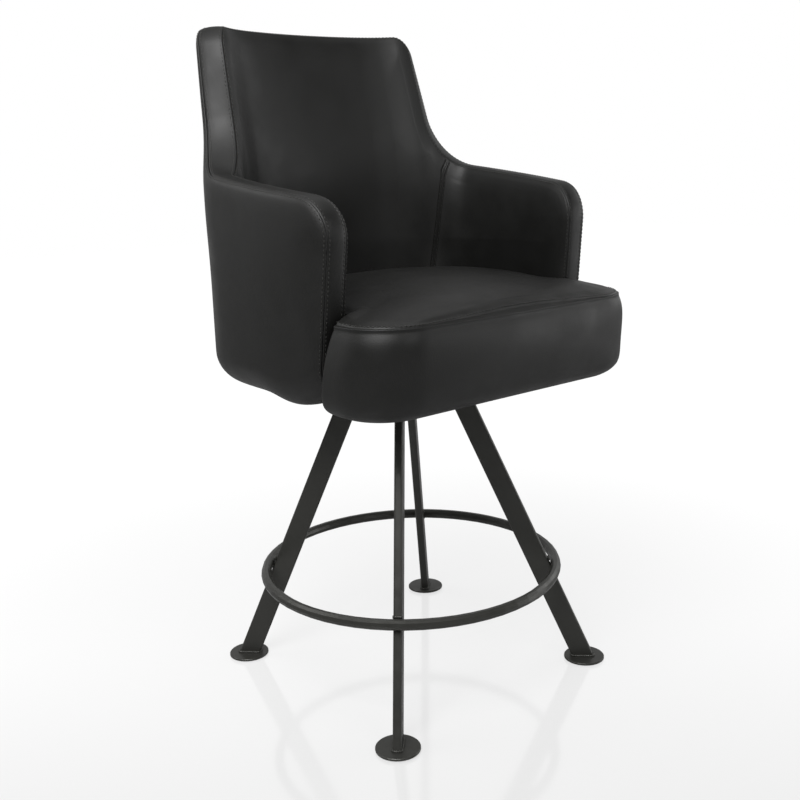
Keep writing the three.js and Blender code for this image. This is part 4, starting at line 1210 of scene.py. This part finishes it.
def inflate(piece, hold, cap):
    """Fills a piece as a short cloth simulation fills an even copy of it.

    The copy is held where hold gives 1 for its points, and no point moves further than cap.
    """
    scene = bpy.context.scene
    copy = bpy.data.objects.new("filling", piece.data.copy())
    scene.collection.objects.link(copy)
    even = copy.modifiers.new("Remesh", "REMESH")
    even.mode = "VOXEL"
    even.voxel_size = FILL_VOXEL
    remeshed = copy.evaluated_get(bpy.context.evaluated_depsgraph_get())
    copy.data = bpy.data.meshes.new_from_object(remeshed)
    copy.modifiers.remove(even)
    start = np.array([v.co for v in copy.data.vertices])
    pin = copy.vertex_groups.new(name="held")
    for i, weight in enumerate(hold(start / MM)):
        pin.add([i], float(weight), "REPLACE")
    cloth = copy.modifiers.new("Cloth", "CLOTH")
    cloth.settings.quality = 5
    cloth.settings.mass = 0.3
    cloth.settings.tension_stiffness = 15
    cloth.settings.compression_stiffness = 15
    cloth.settings.shear_stiffness = 8
    cloth.settings.bending_stiffness = 3
    cloth.settings.use_pressure = True
    cloth.settings.uniform_pressure_force = 4
    cloth.settings.effector_weights.gravity = 0
    cloth.settings.vertex_group_mass = "held"
    cloth.collision_settings.use_collision = False
    for step in range(1, FILL_STEPS + 1):
        scene.frame_set(step)
    filled = copy.evaluated_get(bpy.context.evaluated_depsgraph_get())
    moved = np.array([v.co for v in filled.data.vertices]) - start
    scene.frame_set(1)
    bpy.data.objects.remove(copy)
    far = np.linalg.norm(moved, axis=1)[:, None]
    moved *= np.minimum(1, cap / np.maximum(far, 1e-9))
    tree = tree_of(start)
    points = np.array([v.co for v in piece.data.vertices])
    for i, place in enumerate(points):
        near = tree.find_n(place, FILL_NEIGHBOURS)
        share = np.exp(-(np.array([hit[2] for hit in near]) / FILL_SPREAD) ** 2) + 1e-6
        points[i] += share @ moved[[hit[1] for hit in near]] / share.sum()
    set_points(piece, points)


def cushion_hold(points):
    """1 at the cushion's foot, 0.6 at its sewn edge and 0 elsewhere, blended between."""
    low = np.clip((CUSHION_BOTTOM + 7 - points[:, 2]) / 5, 0, 1)
    return np.maximum(low, 0.6 * bump_at(points[:, 2], CUSHION_SEAM_HEIGHT, 6))


def set_points(piece, points):
    """Moves the points of a piece's mesh, in metres."""
    piece.data.vertices.foreach_set("co", points.astype(np.float32).ravel())
    piece.data.update()


def points_and_normals(piece):
    """The points of a piece's mesh in metres, and its normals there."""
    points = np.array([v.co for v in piece.data.vertices])
    normals = np.array([v.vector for v in piece.data.vertex_normals])
    return points, normals


class STOOL_OT_cushion(bpy.types.Operator):
    """Fill the T-shaped seat cushion: a drawn side, a sewn edge and a crowned top"""

    bl_idname = "stool.cushion"
    bl_label = "Seat cushion"

    def execute(self, context):
        half, insets = cushion_rings()
        foot = CUSHION_BOTTOM - CUSHION_SEAM_HEIGHT
        inward = np.array([0, CUSHION_CENTRE_Y, CUSHION_BOTTOM]) - half[:, :1]
        inward /= np.linalg.norm(inward, axis=2)[..., None]
        hem = [half[:, :1] + inset * inward for inset in POCKET_INSETS]
        half = np.concatenate([*hem, half], 1)
        insets = np.concatenate([[foot, foot], insets])
        left = half[1:-1] * (-1, 1, 1)
        columns = np.concatenate([half, left[::-1]])
        count, rows = columns.shape[:2]
        middle = count * rows
        centre = (0, CUSHION_CENTRE_Y, CUSHION_SEAM_HEIGHT + crown_at(0, CUSHION_CENTRE_Y))
        below = (0, CUSHION_CENTRE_Y, CUSHION_BOTTOM)
        points = np.concatenate([columns.reshape(-1, 3), [centre, below]])
        faces = grid_faces(count, rows, closed=True)
        faces += [(i * rows + rows - 1, ((i + 1) % count) * rows + rows - 1, middle) for i in range(count)]
        faces += [(((i + 1) % count) * rows, i * rows, middle + 1) for i in range(count)]
        piece = leather_piece("cushion_cover", points, faces, "seat_cushion", fill=0.8)
        inset = np.append(np.tile(insets, count), (TOP_INSET, foot))
        low = inset <= foot + 12
        inflate(piece, cushion_hold, FILL_LIMIT)
        self.open_pocket(piece, count)
        # The seam is drawn in, the topstitching beside it too, and the leather rolls between.
        place, normal = points_and_normals(piece)
        rolled = sum(high * bump_at(inset, at, wide) for high, at, wide in CUSHION_ROLLS)
        puckers = waves(place / MM, PUCKER_WAVE, PUCKER_SEED) * bump_at(inset, PUCKER_INSET, PUCKER_INSET)
        creases = waves(place / MM, CREASE_WAVE, CREASE_SEED) * share_between(np.abs(inset), *CREASE_INSETS)
        lift = rolled + PUCKER_HEIGHT * puckers + CREASE_HEIGHT * creases * (~low)
        place += normal * (lift * MM)[:, None]
        set_points(piece, place)
        piece.modifiers.new("Subdivision", "SUBSURF").levels = 1
        row = int(np.argmin(np.abs(insets - CUSHION_STITCH_INSET)))
        line = place[:-2].reshape(count, rows, 3)[:, row] / MM
        start = TONGUE_POINTS + 2
        front = [i % count for i in range(start, count - start + 1)]
        sew("cushion_stitching", [line[front] + (0, 0, THREAD_LIFT)])
        return {"FINISHED"}

    def open_pocket(self, piece, count):
        """Lifts the underside off the board, which only the front and the ears reach below."""
        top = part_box("seat_board")[1].z / MM + POCKET_GAP
        place = points_and_normals(piece)[0] / MM
        grid = place[:-2].reshape(count, -1, 3)
        column = np.arange(count)
        from_back = np.minimum(column, count - column)
        on_board = np.clip((TONGUE_POINTS - 1 - from_back) / POCKET_SLOPE_COLUMNS, 0, 1)[:, None]
        below = share_between(grid[..., 2], CUSHION_SEAM_HEIGHT, CUSHION_BOTTOM)
        grid[..., 2] += on_board * (top - CUSHION_BOTTOM) * below
        grid[:, 0, 2] = top
        place[:-2] = grid.reshape(-1, 3)
        place[-1, 2] = top
        set_points(piece, place * MM)


class STOOL_OT_stitching(bpy.types.Operator):
    """Run the topstitching along both rim seams and both pad seams"""

    bl_idname = "stool.stitching"
    bl_label = "Topstitching"

    def execute(self, context):
        rim, inward, _ = rim_path(PANEL_STEP)
        low = rim[:, 1] > PAD_BOTTOM
        rim_lines = []
        for section, keep in (
            ((2.6, 4.0), slice(None)), ((-0.2, 10.2), slice(None)),
            ((-0.2, INNER_SEAM_DEPTH - 3.2), slice(None)), ((2.1, 39.4), low),
        ):
            band = rim_band(rim[keep], inward[keep], np.array([section], float))
            rim_lines.append(mirrored(band)[:, 0])
        sew("rim_stitching", rim_lines)
        sizes = context.scene.stool_leather
        rim, _, inside, seam, _ = pad_columns()
        start, end = inside[seam, -1], inside[seam, 0]
        along = (end - start) / np.linalg.norm(end - start)
        share = np.linspace(0, 1, 60)[:, None]
        pad_lines = []
        for side in (-1, 1):
            beside = side * PAD_STITCH_INSET * np.array([along[1], -along[0]])
            at = start + (end - along * 2 - start) * share + beside
            away = rim_distance(at, rim)
            swell = pad_swell(at, away, float(PAD_STITCH_INSET), sizes, sizes.puff)
            depth = pad_depth(at, away) + swell + THREAD_LIFT
            line = tub_point(at[:, 0], at[:, 1], depth)
            pad_lines += [line, line * (-1, 1, 1)]
        sew("pad_stitching", pad_lines)
        return {"FINISHED"}


def rounded_outline(length, width, radius, steps=6):
    """Points round a rounded rectangle centred on the origin."""
    points = []
    for quarter in range(4):
        cx = (length / 2 - radius) * (1 if quarter in (0, 3) else -1)
        cy = (width / 2 - radius) * (1 if quarter in (0, 1) else -1)
        for k in range(steps + 1):
            turn = (quarter + k / steps) * np.pi / 2
            points.append((cx + radius * math.cos(turn), cy + radius * math.sin(turn)))
    return np.array(points + points[:1])


def even_line(line, step):
    """The same line with points an even step apart."""
    length = run_length(line)
    return along_line(np.linspace(0, length[-1], max(3, int(length[-1] / step))), length, line)


class STOOL_OT_welds(bpy.types.Operator):
    """Run the weld beads round the legs' ends and between the legs and the ring"""

    bl_idname = "stool.welds"
    bl_label = "Weld beads"

    def execute(self, context):
        radius = context.scene.stool_hardware.bead / MM
        leg_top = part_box("leg_plate")[0].z / MM
        lean = (FOOT_CIRCLE_RADIUS - LEG_TOP_CIRCLE_RADIUS) / leg_top
        stretch = math.hypot(1, lean)
        outline = rounded_outline(LEG_WIDTH * stretch, LEG_THICKNESS, LEG_CORNER_RADIUS)
        runs = []
        for height in (DISC_TOP + DISC_WELD_OVER, leg_top - PLATE_WELD_UNDER):
            around = outline + (FOOT_CIRCLE_RADIUS - lean * height, 0)
            runs.append(np.column_stack([around, np.full(len(around), height)]))
        axis = np.array([-lean, 0, 1]) / stretch
        outward = np.array([1, 0, lean]) / stretch
        face = FOOT_CIRCLE_RADIUS - lean * RING_HEIGHT + LEG_WIDTH / 2 * stretch
        contact = np.array([face, 0, RING_HEIGHT]) + outward * RING_WELD_OUT
        for side in (-1, 1):
            for share in (-1, 1):
                half = RING_WELD_HALF * share
                run = np.array([[0, -half, 0], [0, half, 0]])
                runs.append(contact + side * axis * RING_WELD_AWAY + run)
        centres = []
        for turn in (1, 3, 5, 7):
            c, s = math.cos(turn * np.pi / 4), math.sin(turn * np.pi / 4)
            spin = np.array([[c, s, 0], [-s, c, 0], [0, 0, 1]])
            centres += [even_line(run, WELD_STEP) @ spin for run in runs]
        points, faces = [], []
        for k, line in enumerate(centres):
            phase = np.arange(len(line)) * WELD_STEP * 2 * np.pi / WELD_RIPPLE_PITCH + k
            ripple = 1 + 0.16 * np.sin(phase)
            ripple += 0.1 * waves(line, 9, WELD_SEED)
            ring, quads = bead_run(line[None], (radius * ripple)[None], 8)
            faces += [tuple(i + len(points) for i in quad) for quad in quads]
            points += list(ring)
        piece = mesh_piece("weld_beads", points, faces)
        give_finish(piece, powder_coat_finish())
        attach(piece, BASE_BODY)
        return {"FINISHED"}


class STOOL_OT_base(bpy.types.Operator):
    """Coat the legs, the discs and the foot ring, and finish the glides"""

    bl_idname = "stool.base"
    bl_label = "Welded base"

    def execute(self, context):
        coat = powder_coat_finish()
        for name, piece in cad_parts.items():
            if name.startswith(("leg_", "foot_disc", "foot_ring")):
                give_finish(piece, coat)
            if name.startswith("foot_glide"):
                give_finish(piece, nylon_finish())
        return {"FINISHED"}


class STOOL_OT_swivel(bpy.types.Operator):
    """Plate the swivel, its screws and the brackets, polish the balls, and finish the plywood"""

    bl_idname = "stool.swivel"
    bl_label = "Swivel and seat board"

    def execute(self, context):
        zinc = zinc_finish()
        plated = ("swivel_", "lower_plate", "upper_plate", "ball_cage", "pin_", "tee_nut", "tub_bracket")
        for name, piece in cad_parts.items():
            if name.startswith(plated):
                give_finish(piece, zinc)
            elif name.startswith("bearing_ball"):
                give_finish(piece, ball_finish())
            elif name in ("seat_board", "plywood_tub"):
                give_finish(piece, plywood_finish())
        return {"FINISHED"}


def underside(piece):
    """The underside of a flat piece, as a mesh to work on."""
    mesh = bmesh.new()
    mesh.from_mesh(piece.data)
    bmesh.ops.remove_doubles(mesh, verts=mesh.verts, dist=0.01 * MM)
    low = min(v.co.z for v in mesh.verts) + 0.1 * MM
    upper = [face for face in mesh.faces if any(v.co.z > low for v in face.verts)]
    bmesh.ops.delete(mesh, geom=upper, context="FACES")
    return mesh


def outlines(mesh):
    """The closed outlines of a flat mesh in millimetres, the widest first."""
    beside = {}
    for edge in mesh.edges:
        if edge.is_boundary:
            for here, there in (edge.verts, reversed(edge.verts)):
                beside.setdefault(here, []).append(there)
    loops = []
    while beside:
        loop = [next(iter(beside))]
        while onward := [v for v in beside.pop(loop[-1]) if v in beside]:
            loop.append(onward[0])
        loops.append(np.array([v.co for v in loop + loop[:1]]) / MM)
    return sorted(loops, key=lambda loop: -np.ptp(loop[:, 0]))


def dice(mesh, step):
    """Cuts a flat mesh into squares, so that it can sag."""
    for axis in (0, 1):
        across = [v.co[axis] for v in mesh.verts]
        for place in np.arange(min(across) + step / 2, max(across), step):
            plane = [0.0, 0.0, 0.0]
            plane[axis] = 1.0
            bmesh.ops.bisect_plane(
                mesh, geom=[*mesh.verts, *mesh.edges, *mesh.faces],
                plane_co=[place * k for k in plane], plane_no=plane,
            )


class STOOL_OT_dust_cover(bpy.types.Operator):
    """Stretch the black cloth under the seat board and staple its folded edge"""

    bl_idname = "stool.dust_cover"
    bl_label = "Dust cover"

    def execute(self, context):
        mesh = underside(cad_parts["dust_cover"])
        outer, hole = [even_line(loop, CLOTH_OUTLINE_STEP) for loop in outlines(mesh)]
        dice(mesh, CLOTH_SQUARE * MM)
        piece = mesh_piece("dust_cloth", [], [])
        mesh.to_mesh(piece.data)
        mesh.free()
        flat = points_and_normals(piece)[0] / MM
        away, inner = [rim_distance(flat[:, :2], loop[:, :2]) for loop in (outer, hole)]
        tree = tree_of(outer)
        along = np.array([tree.find(place)[1] for place in flat]) * CLOTH_OUTLINE_STEP
        # The cloth lies under the board, doubled along its edge and drawn up by each staple.
        turn = 2 * np.pi * (along - STAPLE_WIDTH / 2) / STAPLE_PITCH
        drawn = STAPLE_DRAW * (1 - np.cos(turn)) * np.exp(-away / STAPLE_DRAW_LENGTH)
        hem = HEM_DROP * np.clip((HEM_WIDTH + HEM_BLEND / 2 - away) / HEM_BLEND, 0, 1)
        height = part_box("dust_cover")[1].z / MM - CLOTH_LIFT - hem - drawn
        sag = CLOTH_SAG - CLOTH_UNEVEN * waves(flat, CLOTH_UNEVEN_WAVE, CLOTH_SEED)
        for distance in (away, inner):
            sag = sag * (1 - np.exp(-distance / CLOTH_SAG_LENGTH))
        flat[:, 2] = height - sag
        set_points(piece, flat * MM)
        piece.data.shade_smooth()
        give_finish(piece, dust_cloth_finish())
        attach(piece, SEAT_BODY)
        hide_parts("dust_cover")
        inward = np.array([0, CUSHION_CENTRE_Y / 2, 0]) - outer
        line = outer + inward * STAPLE_INSET / np.linalg.norm(inward[:, :2], axis=1)[:, None]
        line[:, 2] = height.min() - 0.1
        centres, radii = stitch_runs(line, STAPLE_WIDTH, STAPLE_PITCH, STAPLE_RADIUS)
        staples = mesh_piece("dust_cover_staples", *bead_run(centres, radii))
        give_finish(staples, zinc_finish())
        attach(staples, SEAT_BODY)
        return {"FINISHED"}


class STOOL_OT_studio(bpy.types.Operator):
    """Set out the pale floor, the soft lights and the camera"""

    bl_idname = "stool.studio"
    bl_label = "Studio"

    def execute(self, context):
        studio = context.scene.stool_studio
        self.floor(studio)
        self.room(context)
        for softbox in SOFTBOXES:
            self.light(*softbox)
        context.scene.view_settings.view_transform = "Standard"
        self.camera(studio)
        return {"FINISHED"}

    def floor(self, studio):
        """A pale floor that keeps the stool's shadow and a faint reflection of its legs."""
        ends = ((-1, -1, 0), (1, -1, 0), (1, 1, 0), (-1, 1, 0))
        floor = mesh_piece("floor", np.array(ends) * FLOOR_HALF, [(0, 1, 2, 3)], smooth=False)
        floor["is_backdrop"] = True
        material, shader = new_finish("Painted studio floor", studio.floor, 0.14, IOR=1.45)
        give_finish(floor, material)
        # Far from the stool the camera sees the floor as evenly lit as the room behind it.
        # Leather and metal see a greyer floor, a painted shade on its reflection and bounce, and a pale one
        # only far behind the stool.
        place = add_node(material, "ShaderNodeNewGeometry").outputs["Position"]
        away = add_node(material, "ShaderNodeVectorMath", {"operation": "LENGTH"}, _0=place)
        far = add_node(
            material, "ShaderNodeMapRange", {"interpolation_type": "SMOOTHSTEP"},
            Value=away.outputs["Value"], From_Min=0.15, From_Max=1.5,
            To_Min=0.66, To_Max=1.0,
        )
        behind = add_node(
            material, "ShaderNodeVectorMath", {"operation": "DOT_PRODUCT"}, _0=place, _1=BEHIND,
        )
        pale = add_node(
            material, "ShaderNodeMapRange", {"interpolation_type": "SMOOTHSTEP"},
            Value=behind.outputs["Value"], From_Min=2.5, From_Max=6.0, To_Min=0.0, To_Max=0.6,
        )
        rays = add_node(material, "ShaderNodeLightPath")
        mirrored_share = add_node(
            material, "ShaderNodeMath", {"operation": "MULTIPLY"}, _0=pale.outputs["Result"],
            _1=rays.outputs["Is Glossy Ray"],
        )
        seen = add_node(
            material, "ShaderNodeMath", {"operation": "MULTIPLY_ADD"}, _0=far.outputs["Result"],
            _1=rays.outputs["Is Camera Ray"], _2=mirrored_share.outputs[0],
        )
        # Rays other than the camera's see the floor a darker grey: painted shade on its bounce and
        # reflection.
        floor_colour_and_painted_shade = add_node(
            material, "ShaderNodeMix", {"data_type": "RGBA"}, Factor=rays.outputs["Is Camera Ray"],
            _6=(0.4, 0.4, 0.4, 1), _7=(*studio.floor, 1),
        )
        feed(shader, Base_Color=floor_colour_and_painted_shade.outputs[2])
        # The floor's glow is painted a little dimmer in front of the stool, a painted shade, and the floor
        # mirrors its legs faintly.
        front = add_node(
            material, "ShaderNodeMapRange", {"interpolation_type": "SMOOTHSTEP"},
            Value=behind.outputs["Value"], From_Min=-0.7, From_Max=0.1, To_Min=0.84, To_Max=1.04,
        )
        bright = add_node(
            material, "ShaderNodeEmission", Color=(1, 1, 1, 1), Strength=front.outputs["Result"],
        )
        mirror = add_node(material, "ShaderNodeBsdfGlossy", Color=(1, 1, 1, 1), Roughness=0.1)
        polish = add_node(
            material, "ShaderNodeMath", {"operation": "MULTIPLY"},
            _0=rays.outputs["Is Camera Ray"], _1=0.45,
        )
        polished = add_node(
            material, "ShaderNodeMixShader", _0=polish.outputs[0], _1=shader.outputs["BSDF"],
            _2=mirror.outputs["BSDF"],
        )
        mixed = add_node(
            material, "ShaderNodeMixShader", _0=seen.outputs[0], _1=polished.outputs["Shader"],
            _2=bright.outputs["Emission"],
        )
        feed(material.node_tree.nodes["Material Output"], Surface=mixed.outputs["Shader"])

    def room(self, context):
        """A room that is white to the camera, bright behind the stool and dim elsewhere."""
        world = bpy.data.worlds.new("Studio")
        world.use_nodes = True
        context.scene.world = world
        place = add_node(world, "ShaderNodeTexCoord").outputs["Generated"]
        facing = add_node(
            world, "ShaderNodeVectorMath", {"operation": "DOT_PRODUCT"}, _0=place, _1=BEHIND,
        )
        behind = add_node(
            world, "ShaderNodeMapRange", {"interpolation_type": "SMOOTHSTEP"},
            Value=facing.outputs["Value"], From_Min=0.35, From_Max=0.85, To_Min=0.06, To_Max=0.48,
        )
        rays = add_node(world, "ShaderNodeLightPath")
        clear = add_node(
            world, "ShaderNodeMath", {"operation": "MAXIMUM"}, _0=rays.outputs["Is Glossy Ray"],
            _1=rays.outputs["Is Transmission Ray"],
        )
        shown = add_node(
            world, "ShaderNodeMix", Factor=clear.outputs[0], A=0.35, B=behind.outputs["Result"],
        )
        seen = add_node(
            world, "ShaderNodeMix", Factor=rays.outputs["Is Camera Ray"],
            A=shown.outputs["Result"], B=1.0,
        )
        back = world.node_tree.nodes["Background"]
        feed(back, Color=(1, 1, 1, 1), Strength=seen.outputs["Result"])

    def light(self, name, place, size, power):
        """A square soft light aimed at the seat, sizes in millimetres and power in watts."""
        lamp = bpy.data.lights.new(name, "AREA")
        lamp.shape = "SQUARE"
        lamp.size = size * MM
        lamp.energy = power
        piece = bpy.data.objects.new(name, lamp)
        piece.location = Vector(place) * MM
        aim = (Vector(LAMP_AIM) - Vector(place)).to_track_quat("-Z", "Y")
        piece.rotation_euler = aim.to_euler()
        bpy.context.scene.collection.objects.link(piece)

    def camera(self, studio):
        """The camera of the photograph: turned round the stool, pitched down and rolled."""
        ahead = Vector((math.sin(CAMERA_YAW), math.cos(CAMERA_YAW), 0))
        forward = math.cos(CAMERA_PITCH) * ahead - Vector((0, 0, math.sin(CAMERA_PITCH)))
        level = Vector((math.cos(CAMERA_YAW), -math.sin(CAMERA_YAW), 0))
        down = forward.cross(level)
        right = math.cos(CAMERA_ROLL) * level + math.sin(CAMERA_ROLL) * down
        down = -math.sin(CAMERA_ROLL) * level + math.cos(CAMERA_ROLL) * down
        turn = Matrix.Rotation(studio.turn, 3, "Z")
        axes = Matrix((turn @ right, turn @ -down, turn @ -forward)).transposed()
        lens = bpy.data.cameras.new("camera")
        lens.lens = studio.lens
        lens.sensor_width = SENSOR_WIDTH
        camera = bpy.data.objects.new("camera", lens)
        place = turn @ Vector((0, -studio.distance, studio.height))
        camera.matrix_world = Matrix.Translation(place) @ axes.to_4x4()
        bpy.context.scene.collection.objects.link(camera)
        bpy.context.scene.camera = camera


class STOOL_PT_panel(bpy.types.Panel):
    """Lists the steps that dress the stool"""

    bl_idname = "STOOL_PT_panel"
    bl_label = "Stool"
    bl_space_type = "VIEW_3D"
    bl_region_type = "UI"
    bl_category = "Stool"

    def draw(self, context):
        for step in STEPS:
            self.layout.operator(step.bl_idname)
        for group in ("stool_leather", "stool_hardware", "stool_studio"):
            settings = getattr(context.scene, group)
            for name in settings.__annotations__:
                self.layout.prop(settings, name)


STEPS = (
    STOOL_OT_outer_panel,
    STOOL_OT_rim_strip,
    STOOL_OT_inner_pads,
    STOOL_OT_cushion,
    STOOL_OT_stitching,
    STOOL_OT_base,
    STOOL_OT_welds,
    STOOL_OT_swivel,
    STOOL_OT_dust_cover,
    STOOL_OT_studio,
)
GROUPS = {
    "stool_leather": StoolLeather,
    "stool_hardware": StoolHardware,
    "stool_studio": StoolStudio,
}


def register():
    for kind in (*GROUPS.values(), *STEPS, STOOL_PT_panel):
        bpy.utils.register_class(kind)
    for name, kind in GROUPS.items():
        setattr(bpy.types.Scene, name, bpy.props.PointerProperty(type=kind))


def unregister():
    for name in GROUPS:
        delattr(bpy.types.Scene, name)
    for kind in reversed((*GROUPS.values(), *STEPS, STOOL_PT_panel)):
        bpy.utils.unregister_class(kind)


def corners(bounds):
    """Both corners of a box as plain lists."""
    return [list(corner) for corner in bounds]


def main():
    """Registers the add-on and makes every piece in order."""
    solid = corners(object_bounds())
    register()
    bpy.ops.stool.outer_panel()
    bpy.ops.stool.rim_strip()
    bpy.ops.stool.inner_pads()
    bpy.ops.stool.cushion()
    bpy.ops.stool.stitching()
    bpy.ops.stool.base()
    bpy.ops.stool.welds()
    bpy.ops.stool.swivel()
    bpy.ops.stool.dust_cover()
    bpy.ops.stool.studio()
    {"cad": solid, "visual": corners(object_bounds())}


if __name__ == "__main__":
    main()
